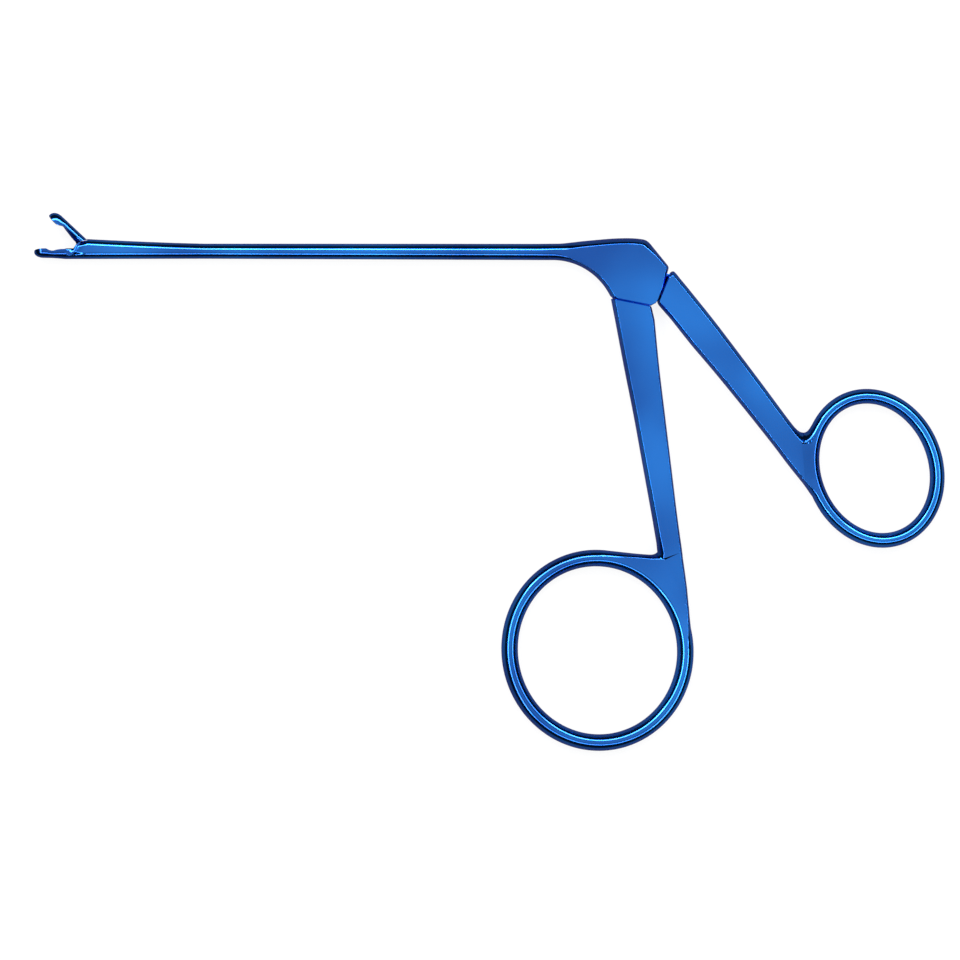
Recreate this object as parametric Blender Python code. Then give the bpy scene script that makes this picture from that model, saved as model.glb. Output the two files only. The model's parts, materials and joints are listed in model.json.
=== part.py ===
"""Ear cup forceps: a slim bored shaft with a hinged cup jaw at its tip, worked by two ring handles.

The instrument lies on its side on the table. X runs along the shaft, away from the jaws, and Y runs
across it in the plane of the handles. Z is the thickness, and the table is at Z = 0. The shaft's
axis is at Y = 0, and the rear handle's pivot is at X = 0. The jaw is open, which is rest.

Squeezing the rings turns the rear handle about its screw. A nose on its tongue then pulls the rod,
and the rod pulls the crank of the upper jaw, which shuts onto the fixed lower jaw.
"""

import math

import bmesh
import bpy
from mathutils import Matrix, Vector

MM = 0.001

# Thickness of the parts that lie on the table
HEAD_THICKNESS = 3.2 * MM
RING_THICKNESS = 3.0 * MM

# Outer shaft
SHAFT_TIP_RADIUS = 1.11 * MM
SHAFT_ROOT_RADIUS = 1.24 * MM
SHAFT_FLARE_LENGTH = 18.0 * MM
SHAFT_FLARE_TOP = 1.80 * MM
SHAFT_FLARE_POWER = 1.3
SHAFT_FOOT_DROP = 0.07 * MM
SHAFT_BORE_RADIUS = 0.55 * MM

# Jaws, with lengths taken from the hinge
JAW_HINGE_DISTANCE = 82.3 * MM
JAW_HINGE_HEIGHT = 0.40 * MM
JAW_OPENING = math.radians(43.0)
LOWER_JAW_LENGTH = 7.05 * MM
UPPER_JAW_LENGTH = 6.85 * MM
JAW_PARTING_HEIGHT = 0.38 * MM
JAW_PARTING_GAP = 0.04 * MM
JAW_EDGE = 0.12 * MM
CUP_LENGTH = 1.45 * MM
CUP_HALF_WIDTH = 1.02 * MM
CUP_DEPTH = 1.40 * MM
CUP_WALL = 0.26 * MM
LOWER_TIP_DROP = 0.55 * MM
UPPER_TIP_RISE = 0.28 * MM
LOWER_HEEL_DISTANCE = 2.45 * MM
UPPER_NECK_RISE = 0.40 * MM
LOWER_NECK_DIP = 0.32 * MM
HEEL_REACH = 1.06 * MM
HEEL_SLANT = math.radians(56.0)
CHEEK_GAP = 0.05 * MM
CHEEK_RELIEF_REACH = 0.70 * MM
CHEEK_RELIEF_HALF = 0.80 * MM
CRANK_RADIUS = 0.77 * MM
JAW_PIN_RADIUS = 0.25 * MM
LINK_PIN_RADIUS = 0.15 * MM
JAW_PIN_TOP = 0.92 * MM
TAIL_THICKNESS = 0.50 * MM
TAIL_NECK_RADIUS = 0.42 * MM
TAIL_BOSS_RADIUS = 0.50 * MM
CRANK_EYE_RADIUS = 0.32 * MM
TIP_SLOT_CLEARANCE = 0.04 * MM
TIP_SLOT_FLOOR = 0.80 * MM
TIP_SLOT_ROOF = 1.05 * MM
TIP_SLOT_BACK = 1.90 * MM

# Drive rod
ROD_RADIUS = 0.42 * MM
ROD_HEIGHT = -0.12 * MM
ROD_BLOCK_HALF_LENGTH = 1.35 * MM
ROD_BLOCK_TOP = 0.33 * MM
ROD_BLOCK_BOTTOM = -1.45 * MM

# Rear handle's pivot, tongue and nose
PIVOT_HEIGHT = -4.59 * MM
PIVOT_RADIUS = 0.80 * MM
PIVOT_BOSS_RADIUS = 1.60 * MM
PIVOT_HEAD_RADIUS = 1.20 * MM
PIVOT_HEAD_HEIGHT = 0.50 * MM
DRIVER_SLOT_WIDTH = 0.28 * MM
DRIVER_SLOT_DEPTH = 0.22 * MM
NOSE_DISTANCE = 4.0 * MM
NOSE_RADIUS = 0.55 * MM
NOSE_ARM_RADIUS = 0.36 * MM
TONGUE_THICKNESS = 1.20 * MM
REAR_NECK_END = (5.0 * MM, -4.65 * MM)
REAR_NECK_RADIUS = 1.38 * MM

# Front handle's tongue and its dowels
FRONT_TONGUE_LEFT = -3.10 * MM
FRONT_TONGUE_RIGHT = 0.50 * MM
FRONT_TONGUE_CLEARANCE = 0.20 * MM
DOWEL_RADIUS = 0.40 * MM
DOWELS = [Vector(center) * MM for center in ((-2.45, -4.2), (-0.7, -7.05))]

# Head
THROAT_RADIUS = 9.58 * MM
THROAT_END = math.radians(24.5)
SEAM_LEFT = -3.90 * MM
SEAM_RIGHT = (2.10 * MM, -8.02 * MM)

# Finger rings: half lengths of the hole, width of the band, and the tilt of the long half
LARGE_RING_CENTER = (-5.95 * MM, -58.85 * MM)
LARGE_RING_HOLE = (12.42 * MM, 11.80 * MM)
LARGE_RING_WIDTH = 2.46 * MM
LARGE_RING_TILT = math.radians(102.0)
SMALL_RING_CENTER = (35.30 * MM, -31.97 * MM)
SMALL_RING_HOLE = (9.80 * MM, 7.96 * MM)
SMALL_RING_WIDTH = 2.20 * MM
SMALL_RING_TILT = math.radians(-68.0)

# Edges and fits
THROAT_BAND = 0.40 * MM
FRONT_BAND = 0.38 * MM
REAR_OUTER_BAND = 0.68 * MM
REAR_INNER_BAND = 0.38 * MM
EDGE_CREASE = math.radians(28.0)
SEAM_BEVEL = 0.14 * MM
SEAM_GAP = 0.06 * MM
FIXED_FIT = 0.02 * MM
RUNNING_FIT = 0.04 * MM
SIDE_FIT = 0.05 * MM
BLIND_SKIN = 0.30 * MM
MERGE_DISTANCE = 0.0001 * MM

# Smoothness of the solids
EDGE_STEPS = 8
CURVE_STEPS = 2
CUP_ANGLES = (10, 24, 40, 58, 76, 90)
RING_STEPS = 52
PIN_SIDES = 24
SMALL_PIN_SIDES = 16

# Sizes that follow from those above
MIDDLE = HEAD_THICKNESS / 2
HALF_THICKNESS = HEAD_THICKNESS / 2
RING_HALF = RING_THICKNESS / 2
SLOT_HALF = TONGUE_THICKNESS / 2 + SIDE_FIT
HINGE = Vector((-JAW_HINGE_DISTANCE, JAW_HINGE_HEIGHT))
PIVOT = Vector((0.0, PIVOT_HEIGHT))
CRANK_SWING = JAW_OPENING / 2
ROD_TRAVEL = 2 * CRANK_RADIUS * math.sin(CRANK_SWING)
NOSE_SWING = math.asin(ROD_TRAVEL / 2 / NOSE_DISTANCE)
LINK = HINGE + CRANK_RADIUS * Vector((-math.sin(CRANK_SWING), -math.cos(CRANK_SWING)))
LINK_RISE = CRANK_RADIUS * (1 - math.cos(CRANK_SWING))
UPPER_RIM = JAW_PARTING_HEIGHT + JAW_PARTING_GAP - JAW_HINGE_HEIGHT
UPPER_BACK = SHAFT_FLARE_TOP + 0.02 * MM - JAW_HINGE_HEIGHT
THROAT_CENTER = Vector((SEAM_LEFT - THROAT_RADIUS * math.cos(THROAT_END), -SHAFT_ROOT_RADIUS - THROAT_RADIUS))
SEAM = (Vector(SEAM_RIGHT), THROAT_CENTER + THROAT_RADIUS * Vector((math.cos(THROAT_END), math.sin(THROAT_END))))
NOSE = PIVOT + NOSE_DISTANCE * Vector((-math.sin(NOSE_SWING), math.cos(NOSE_SWING)))
TIP_SLOT_HALF = TAIL_THICKNESS + 2 * TIP_SLOT_CLEARANCE - 0.01 * MM


def clear_scene():
    for item in list(bpy.data.objects):
        bpy.data.objects.remove(item, do_unlink=True)


def in_mm(points):
    """Points given in millimetres, as vectors in metres."""
    return [Vector(point) * MM for point in points]


# Curves and outlines in the plane of the handles


def smooth_curve(points, steps):
    """A curve through the points, with the same number of steps in each stretch."""
    ends = [2 * points[0] - points[1], *points, 2 * points[-1] - points[-2]]
    curve = []
    for before, start, stop, after in zip(ends, ends[1:], ends[2:], ends[3:]):
        for step in range(steps):
            t = step / steps
            curve.append(
                start
                + 0.5 * t * (stop - before)
                + t * t * (before - 2.5 * start + 2 * stop - 0.5 * after)
                + t * t * t * (1.5 * (start - stop) + 0.5 * (after - before))
            )
    return [*curve, points[-1]]


def arc(center, radius, start, stop, steps):
    angles = [start + (stop - start) * step / steps for step in range(steps + 1)]
    return [center + radius * Vector((math.cos(a), math.sin(a))) for a in angles]


def capsule(first, second, first_radius, second_radius, steps=10):
    """Outline round two circles and their outer tangents."""
    line = second - first
    heading = math.atan2(line.y, line.x)
    lean = math.acos((first_radius - second_radius) / line.length)
    near = arc(first, first_radius, heading + lean, heading + 2 * math.pi - lean, steps)
    far = arc(second, second_radius, heading - lean, heading + lean, steps)
    return near + far


def ellipse_point(center, halves, tilt, angle):
    along = Vector((math.cos(tilt), math.sin(tilt)))
    across = Vector((-along.y, along.x))
    return Vector(center) + halves[0] * math.cos(angle) * along + halves[1] * math.sin(angle) * across


# Solids


def mesh_from(bm, name):
    bmesh.ops.remove_doubles(bm, verts=bm.verts, dist=MERGE_DISTANCE)
    bmesh.ops.recalc_face_normals(bm, faces=bm.faces)
    mesh = bpy.data.meshes.new(name)
    bm.to_mesh(mesh)
    bm.free()
    mesh.shade_smooth()
    mesh.set_sharp_from_angle(angle=math.radians(24.0))
    return mesh


def solid(name, mesh, material=None):
    item = bpy.data.objects.new(name, mesh)
    bpy.context.scene.collection.objects.link(item)
    if material:
        mesh.materials.append(material)
    return item


def guide(name, mesh):
    """A solid that only shapes another one, by a cut or a join."""
    item = solid(name, mesh)
    item.hide_render = True
    item.display_type = "WIRE"
    return item


def shape(item, operation, name, mesh):
    """Cuts the mesh out of the item, or joins it on."""
    tool = guide(item.name + "_" + name, mesh)
    modifier = item.modifiers.new(name, "BOOLEAN")
    modifier.operation = operation
    modifier.solver = "EXACT"
    modifier.object = tool
    return tool


def cut(item, name, mesh):
    return shape(item, "DIFFERENCE", name, mesh)


def join(item, name, mesh):
    return shape(item, "UNION", name, mesh)


def prism(name, outline, low, high):
    bm = bmesh.new()
    floor = bm.faces.new([bm.verts.new((*point, low)) for point in outline])
    raised = bmesh.ops.extrude_face_region(bm, geom=[floor])
    verts = [item for item in raised["geom"] if isinstance(item, bmesh.types.BMVert)]
    bmesh.ops.translate(bm, verts=verts, vec=(0, 0, high - low))
    return mesh_from(bm, name)


def pin(name, center, radius, low, high, sides=PIN_SIDES):
    """A round bar along Z."""
    return prism(name, arc(center, radius, 0, 2 * math.pi * (1 - 1 / sides), sides - 1), low, high)


def bar(name, start, stop, height, radius):
    """A round bar along the shaft."""
    bm = bmesh.new()
    lie = Matrix.Translation(((start + stop) / 2, height, MIDDLE)) @ Matrix.Rotation(math.pi / 2, 4, "Y")
    bmesh.ops.create_cone(
        bm,
        cap_ends=True,
        segments=SMALL_PIN_SIDES,
        radius1=radius,
        radius2=radius,
        depth=stop - start,
        matrix=lie,
    )
    return mesh_from(bm, name)


class Station:
    """A section between two outline points, flat on both faces and rounded at both edges.

    Each side has its own half thickness and its own band, the width that the rounded edge takes.
    A crease is the angle at which a rounded edge leaves the flat face.
    """

    def __init__(self, first, second, halves, bands, creases=(0.0, 0.0)):
        self.first = Vector(first)
        self.second = Vector(second)
        self.halves = halves
        self.bands = bands
        self.creases = creases

    def edge(self, side, band):
        """The rounded edge on one side, from the top face to the bottom face."""
        corner, other = (self.first, self.second) if side == 0 else (self.second, self.first)
        outward = (corner - other).normalized()
        crease = self.creases[side]
        points = []
        for step in range(EDGE_STEPS + 1):
            angle = crease + (math.pi - 2 * crease) * step / EDGE_STEPS
            out = (math.sin(angle) - math.sin(crease)) / (1 - math.sin(crease))
            up = math.cos(angle) / math.cos(crease)
            place = corner - outward * band * (1 - out)
            points.append(Vector((place.x, place.y, MIDDLE + self.halves[side] * up)))
        return points

    def outline(self, slants):
        """The closed section, where the slants widen the bands of a section cut at an angle."""
        length = (self.first - self.second).length
        bands = [band / slant for band, slant in zip(self.bands, slants)]
        excess = max(1.0, sum(bands) / length)
        first = self.edge(0, bands[0] / excess)
        second = self.edge(1, bands[1] / excess)
        return first + second[::-1]


def slants_along(stations):
    """How squarely each station crosses its two outlines: 1 is square."""
    pairs = []
    for index, station in enumerate(stations):
        before = stations[max(index - 1, 0)]
        after = stations[min(index + 1, len(stations) - 1)]
        across = (station.second - station.first).normalized()
        slants = []
        for start, stop in ((before.first, after.first), (before.second, after.second)):
            run = stop - start
            square = abs(across.cross(run.normalized())) if run.length > MERGE_DISTANCE else 1.0
            slants.append(max(square, 0.6))
        pairs.append(slants)
    pairs[0] = pairs[1]
    pairs[-1] = pairs[-2]
    return pairs


def loft(name, stations, closed=False):
    """A solid skinned over the stations, with flat ends or as a closed loop."""
    bm = bmesh.new()
    slants = [(1.0, 1.0)] * len(stations) if closed else slants_along(stations)
    rows = []
    for station, slant in zip(stations, slants):
        rows.append([bm.verts.new(point) for point in station.outline(slant)])
    pairs = list(zip(rows, rows[1:]))
    if closed:
        pairs.append((rows[-1], rows[0]))
    for row, other in pairs:
        for index in range(len(row)):
            following = (index + 1) % len(row)
            bm.faces.new((row[index], row[following], other[following], other[index]))
    if not closed:
        bm.faces.new(rows[0])
        bm.faces.new(rows[-1][::-1])
    return mesh_from(bm, name)


def finger_ring(name, center, hole, width, tilt):
    outer = (hole[0] + width, hole[1] + width)
    stations = []
    for step in range(RING_STEPS):
        angle = 2 * math.pi * step / RING_STEPS
        rim = ellipse_point(center, outer, tilt, angle)
        inside = ellipse_point(center, hole, tilt, angle)
        stations.append(Station(rim, inside, (RING_HALF, RING_HALF), (width / 2, width / 2)))
    return loft(name, stations, closed=True)


def ring_middle(center, hole, width, tilt, degrees):
    """A point on the middle line of a finger ring."""
    middle = (hole[0] + width / 2, hole[1] + width / 2)
    return ellipse_point(center, middle, tilt, math.radians(degrees))


# Materials


def metal(name, color, roughness):
    material = bpy.data.materials.new(name)
    material.use_nodes = True
    surface = material.node_tree.nodes["Principled BSDF"]
    surface.inputs["Base Color"].default_value = (*color, 1.0)
    surface.inputs["Metallic"].default_value = 1.0
    surface.inputs["Roughness"].default_value = roughness
    material.diffuse_color = (*color, 1.0)
    return material


def blue(name):
    return metal("blue_" + name, (0.008, 0.13, 0.55), 0.22)


def bare(name):
    return metal("bare_" + name, (0.55, 0.56, 0.58), 0.3)


# Head


# Rows from the shaft to the seam: x and y on the head's top and back in millimetres, the angle in
# degrees of the throat's point that it pairs with, and the bands on the top and in the throat
HEAD_ROWS = [
    (-12.6, 1.19, 90.0, 1.15, 1.15),
    (-11.4, 1.21, 83.5, 1.02, 0.92),
    (-10.0, 1.35, 77.0, 0.93, 0.66),
    (-8.3, 1.55, 70.5, 0.88, 0.46),
    (-6.0, 1.77, 62.5, 0.86, 0.40),
    (-3.5, 1.97, 55.0, 0.86, 0.40),
    (-1.2, 2.02, 48.5, 0.86, 0.40),
    (0.40, 1.91, 44.0, 0.88, 0.40),
    (1.20, 1.73, 41.5, 0.94, 0.40),
    (1.75, 1.34, 39.5, 1.00, 0.40),
    (2.35, 0.62, 37.8, 0.80, 0.40),
    (3.20, -0.42, 35.8, 0.58, 0.40),
    (4.18, -1.62, 33.5, 0.50, 0.40),
    (4.54, -2.12, 32.6, 0.48, 0.40),
    (4.58, -2.50, 32.0, 0.47, 0.40),
    (4.36, -3.30, 31.2, 0.42, 0.40),
    (3.93, -4.85, 29.6, 0.30, 0.40),
    (3.42, -6.10, 28.4, 0.20, 0.40),
    (2.93, -7.15, 27.4, 0.12, 0.40),
    (2.62, -7.60, 26.7, 0.12, 0.40),
]
HEAD_CREASE_SPAN = (-12.6 * MM, -7.0 * MM)


def ease(start, stop, position):
    """Rises smoothly from 0 at the start to 1 at the stop."""
    share = min(max((position - start) / (stop - start), 0.0), 1.0)
    return share * share * (3 - 2 * share)


def head_half(position):
    """Half the thickness of the head, which thins towards the shaft."""
    return SHAFT_ROOT_RADIUS + (HALF_THICKNESS - SHAFT_ROOT_RADIUS) * ease(*HEAD_CREASE_SPAN, position)


def bevelled_end(station, inset, shift):
    """A smaller copy of a station, moved by the shift, which bevels the end of a loft."""
    inward = (station.second - station.first).normalized() * inset
    return Station(
        station.first + inward + shift,
        station.second - inward + shift,
        [half - inset for half in station.halves],
        station.bands,
        station.creases,
    )


def seam_down():
    """The direction square to the seam, from the head to the front handle."""
    across = (SEAM[1] - SEAM[0]).normalized()
    return Vector((-across.y, across.x))


def head_stations():
    stations = []
    for row in smooth_curve([Vector(row) for row in HEAD_ROWS], CURVE_STEPS):
        top = Vector(row[:2]) * MM
        angle = math.radians(row[2])
        throat = THROAT_CENTER + THROAT_RADIUS * Vector((math.cos(angle), math.sin(angle)))
        halves = (head_half(top.x), head_half(throat.x))
        crease = EDGE_CREASE * ease(*HEAD_CREASE_SPAN, top.x)
        stations.append(Station(top, throat, halves, (row[3] * MM, row[4] * MM), (crease, crease)))
    lift = seam_down() * -(SEAM_GAP / 2 + SEAM_BEVEL)
    halves = (HALF_THICKNESS, HALF_THICKNESS)
    bands = (HEAD_ROWS[-1][3] * MM, THROAT_BAND)
    last = Station(SEAM[0] + lift, SEAM[1] + lift, halves, bands, (EDGE_CREASE, EDGE_CREASE))
    stations.append(last)
    stations.append(bevelled_end(last, SEAM_BEVEL, seam_down() * SEAM_BEVEL))
    return stations


def head_slot():
    """Outline of the head's slot, which the rod's block and both handles' tongues share."""
    block_left = NOSE.x - ROD_BLOCK_HALF_LENGTH - 1.2 * MM
    block_right = NOSE.x + ROD_BLOCK_HALF_LENGTH + ROD_TRAVEL + 0.5 * MM
    top = ROD_BLOCK_TOP + 0.10 * MM
    below = SEAM[0].y - 1.5 * MM
    back = SEAM[0].x + 5.0 * MM
    ceiling = PIVOT.y + PIVOT_BOSS_RADIUS + FRONT_TONGUE_CLEARANCE
    return [
        Vector((block_left, top)),
        Vector((FRONT_TONGUE_LEFT - SIDE_FIT, PIVOT.y + 1.3 * MM)),
        Vector((FRONT_TONGUE_LEFT - SIDE_FIT, below)),
        Vector((back, below)),
        Vector((back, ceiling)),
        Vector((block_right, ceiling)),
        Vector((block_right, top)),
    ]


# Shaft and lower jaw


def round_station(x, top, bottom, half):
    """A section of the shaft: round, or two half rounds with straight sides between them."""
    radius = min(half, (top - bottom) / 2)
    return Station((x, top), (x, bottom), (half, half), (radius, radius))


def shaft_stations():
    """The round shaft, deeper towards the jaws on its upper side."""
    stations = []
    bottom = -SHAFT_TIP_RADIUS - SHAFT_FOOT_DROP
    for share in (-0.12, 0.04, 0.17, 0.34, 0.54, 0.76, 1.0):
        flare = (1 - max(share, 0.0)) ** SHAFT_FLARE_POWER
        top = SHAFT_TIP_RADIUS + (SHAFT_FLARE_TOP - SHAFT_TIP_RADIUS) * flare
        foot = bottom + SHAFT_FOOT_DROP * max(share, 0.0)
        stations.append(round_station(HINGE.x + SHAFT_FLARE_LENGTH * share, top, foot, SHAFT_TIP_RADIUS))
    start = HEAD_ROWS[0][0] * MM - 2.2 * MM
    stations.append(round_station(start, SHAFT_ROOT_RADIUS - 0.08 * MM, -SHAFT_ROOT_RADIUS, SHAFT_ROOT_RADIUS))
    return stations


def jaw_station(x, rim, back, half_width, rim_band=0.0, lean=0.0):
    """A section of a jaw: flat at the rim, or beveled where it has a rim band, and round outside.

    The lean carries the outer side further along the jaw than the rim.
    """
    band = abs(back - rim) - max(rim_band, JAW_EDGE)
    crease = math.radians(50.0) if rim_band else 0.0
    return Station(
        (x, rim), (x + lean, back), (half_width, half_width), (rim_band, band), (crease, 0.0)
    )


def cup_stations(tip, rim, tip_height, outward):
    """The rounded tip of a jaw, from near its end to the widest place of the cup."""
    stations = []
    back = rim + outward * CUP_DEPTH
    for degrees in CUP_ANGLES:
        angle = math.radians(degrees)
        x = tip + CUP_LENGTH * (1 - math.cos(angle))
        share = math.sin(angle)
        top = tip_height + (rim - tip_height) * share**0.6
        bottom = tip_height + (back - tip_height) * share**0.9
        stations.append(jaw_station(x, top, bottom, CUP_HALF_WIDTH * share))
    return stations


def cup_hollow(name, tip, rim):
    """The round-bottomed hollow of a cup."""
    bm = bmesh.new()
    halves = (CUP_LENGTH - CUP_WALL, CUP_DEPTH - 2 * CUP_WALL, CUP_HALF_WIDTH - CUP_WALL)
    center = (tip + CUP_LENGTH, rim, MIDDLE)
    place = Matrix.Translation(center) @ Matrix.Diagonal((*halves, 1.0))
    bmesh.ops.create_uvsphere(bm, u_segments=20, v_segments=12, radius=1.0, matrix=place)
    return mesh_from(bm, name)


def neck_stations(start, stop, rows):
    """Sections between the cup and the heel, each at its share of the way."""
    rows = smooth_curve([Vector(row) for row in rows], CURVE_STEPS)
    return [
        jaw_station(start + (stop - start) * row[0], *(value * MM for value in row[1:4]), max(row[4], 0.0) * MM)
        for row in rows
    ]


def lower_jaw_stations():
    rim = JAW_PARTING_HEIGHT
    tip = HINGE.x - LOWER_JAW_LENGTH
    heel = HINGE.x - LOWER_HEEL_DISTANCE
    foot = (SHAFT_TIP_RADIUS + SHAFT_FOOT_DROP) / MM
    high = rim / MM
    low = (rim - LOWER_NECK_DIP) / MM
    bottom = (rim - CUP_DEPTH) / MM
    width = CUP_HALF_WIDTH / MM
    rows = [
        (0.07, high, bottom, width, 0.0),
        (0.24, high - 0.26, bottom - 0.01, width * 0.97, 0.0),
        (0.42, low, bottom - 0.03, width * 0.92, 0.0),
        (0.58, high - 0.18, bottom - 0.06, width * 0.93, 0.0),
        (0.76, high - 0.10, -foot + 0.06, width * 0.97, 0.0),
        (1.00, high - 0.08, -foot, SHAFT_TIP_RADIUS / MM - 0.04, 0.0),
    ]
    cup = cup_stations(tip, rim, rim - LOWER_TIP_DROP, -1)
    return cup + neck_stations(tip + CUP_LENGTH, heel, rows)


def heel_point(reach, along):
    """A point on the slanted line of the cheeks, the reach from the hinge, upwards by the distance."""
    slant = Vector((math.cos(HEEL_SLANT), math.sin(HEEL_SLANT)))
    return HINGE + Vector((-slant.y, slant.x)) * reach + slant * along


def heel_corner():
    """How far the upper jaw's back corner lies from the hinge, along and across."""
    x = (math.cos(HEEL_SLANT) * UPPER_BACK - HEEL_REACH) / math.sin(HEEL_SLANT)
    return Vector((x, UPPER_BACK))


def cheek_cut():
    """Outline of what is cut away round the upper jaw, clear of its heel from shut to open."""
    reach = HEEL_REACH - CHEEK_GAP
    socket = heel_corner().length + CHEEK_GAP
    rim = JAW_PARTING_HEIGHT + 0.001 * MM
    far = HINGE.x - LOWER_JAW_LENGTH - CUP_LENGTH
    above = SHAFT_FLARE_TOP + CUP_DEPTH
    shut = HEEL_SLANT + math.pi / 2
    opened = shut - JAW_OPENING
    lip = math.asin((SHAFT_FLARE_TOP + 0.05 * MM - HINGE.y) / socket)
    hook = opened - math.acos(reach / socket)
    foot = heel_point(reach, 0.0)
    run = (foot.y - rim) / math.sin(HEEL_SLANT)
    return [
        Vector((HINGE.x + socket * math.cos(lip), above)),
        *arc(HINGE, socket, lip, hook, 4),
        *arc(HINGE, reach, opened, shut, 8),
        heel_point(reach, -run),
        Vector((far, rim)),
        Vector((far, above)),
    ]


def cheek_relief():
    """Outline of the shallow step along each cheek's edge, which hooks back under the jaws."""
    top = heel_point(CHEEK_RELIEF_REACH, 0.40 * MM)
    foot = heel_point(CHEEK_RELIEF_REACH, -1.25 * MM)
    radius = 0.55 * MM
    center = foot + Vector((-radius * 0.95, radius * 0.3))
    hook = arc(center, radius, math.radians(-20), math.radians(-180), 8)
    return [
        top + Vector((0.0, 2.0)) * MM,
        top,
        foot,
        *hook,
        Vector((hook[-1].x, HINGE.y + 2.0 * MM)),
    ]


def make_shaft_head():
    stations = lower_jaw_stations() + shaft_stations() + head_stations()
    item = solid("shaft_head", loft("shaft_head", stations), blue("shaft_head"))
    low = -HEAD_THICKNESS
    high = 2 * HEAD_THICKNESS
    cut(item, "cheeks", prism("cheeks", cheek_cut(), low, high))
    relief = cheek_relief()
    cut(item, "relief_above", prism("relief_above", relief, MIDDLE + CHEEK_RELIEF_HALF, high))
    cut(item, "relief_below", prism("relief_below", relief, low, MIDDLE - CHEEK_RELIEF_HALF))
    cut(item, "cup", cup_hollow("cup", HINGE.x - LOWER_JAW_LENGTH, JAW_PARTING_HEIGHT))

    slot_start = HINGE.x - LOWER_HEEL_DISTANCE + 0.25 * MM
    slot_end = HINGE.x + TIP_SLOT_BACK
    mouth = HINGE.x + TAIL_NECK_RADIUS - 0.06 * MM
    above = SHAFT_FLARE_TOP + 1.0 * MM
    tip_slot = [
        Vector((slot_start, -TIP_SLOT_FLOOR)),
        Vector((slot_end, -TIP_SLOT_FLOOR)),
        Vector((slot_end, TIP_SLOT_ROOF)),
        Vector((mouth, TIP_SLOT_ROOF)),
        Vector((mouth, above)),
        Vector((slot_start, above)),
    ]
    cut(item, "tip_slot", prism("tip_slot", tip_slot, MIDDLE - TIP_SLOT_HALF, MIDDLE + TIP_SLOT_HALF))
    bore_end = NOSE.x - ROD_BLOCK_HALF_LENGTH
    cut(item, "bore", bar("bore", slot_end - 0.3 * MM, bore_end, ROD_HEIGHT, SHAFT_BORE_RADIUS))
    cut(item, "slot", prism("slot", head_slot(), MIDDLE - SLOT_HALF, MIDDLE + SLOT_HALF))

    hole = JAW_PIN_RADIUS + FIXED_FIT
    top = MIDDLE + JAW_PIN_TOP + FIXED_FIT
    cut(item, "jaw_pin_hole", pin("jaw_pin_hole", HINGE, hole, low, top, SMALL_PIN_SIDES))
    for index, center in enumerate(DOWELS):
        name = f"dowel_hole_{index}"
        hole = DOWEL_RADIUS + FIXED_FIT
        top = HEAD_THICKNESS - BLIND_SKIN
        cut(item, name, pin(name, center, hole, low, top, SMALL_PIN_SIDES))
    seat = PIVOT_HEAD_RADIUS + FIXED_FIT
    cut(item, "screw_seat", pin("screw_seat", PIVOT, seat, low, PIVOT_HEAD_HEIGHT + FIXED_FIT))
    hole = PIVOT_RADIUS + FIXED_FIT
    top = HEAD_THICKNESS - BLIND_SKIN
    cut(item, "screw_hole", pin("screw_hole", PIVOT, hole, 0.0, top))
    return item


# Upper jaw and its pins


def turn_jaw(item):
    """Carries a piece made for the shut jaw to the open one."""
    item.location = (HINGE.x, HINGE.y, 0.0)
    item.rotation_euler = (0.0, 0.0, -JAW_OPENING)


def upper_jaw_stations():
    """Sections of the shut upper jaw, from its hinge."""
    tip = -UPPER_JAW_LENGTH
    corner = heel_corner()
    heel = -(HEEL_REACH - math.cos(HEEL_SLANT) * UPPER_RIM) / math.sin(HEEL_SLANT)
    low = UPPER_RIM / MM
    notch = (UPPER_RIM + UPPER_NECK_RISE) / MM
    cup_back = (UPPER_RIM + CUP_DEPTH) / MM
    back = UPPER_BACK / MM
    width = CUP_HALF_WIDTH / MM
    rows = [
        (0.07, low + 0.03, cup_back, width, 0.0),
        (0.17, low + 0.20, cup_back, width * 0.97, 0.0),
        (0.28, notch, cup_back, width * 0.92, 0.05),
        (0.42, notch - 0.10, back, width * 0.91, 0.22),
        (0.68, notch - 0.28, back, width * 0.96, 0.48),
        (0.90, low + 0.01, back, SHAFT_TIP_RADIUS / MM - 0.07, 0.62),
    ]
    cup = cup_stations(tip, UPPER_RIM, UPPER_RIM + UPPER_TIP_RISE, 1)
    end = jaw_station(
        heel, UPPER_RIM, UPPER_BACK, SHAFT_TIP_RADIUS - 0.04 * MM, 0.66 * MM, corner.x - heel
    )
    return [*cup, *neck_stations(tip + CUP_LENGTH, heel, rows), end]


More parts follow.
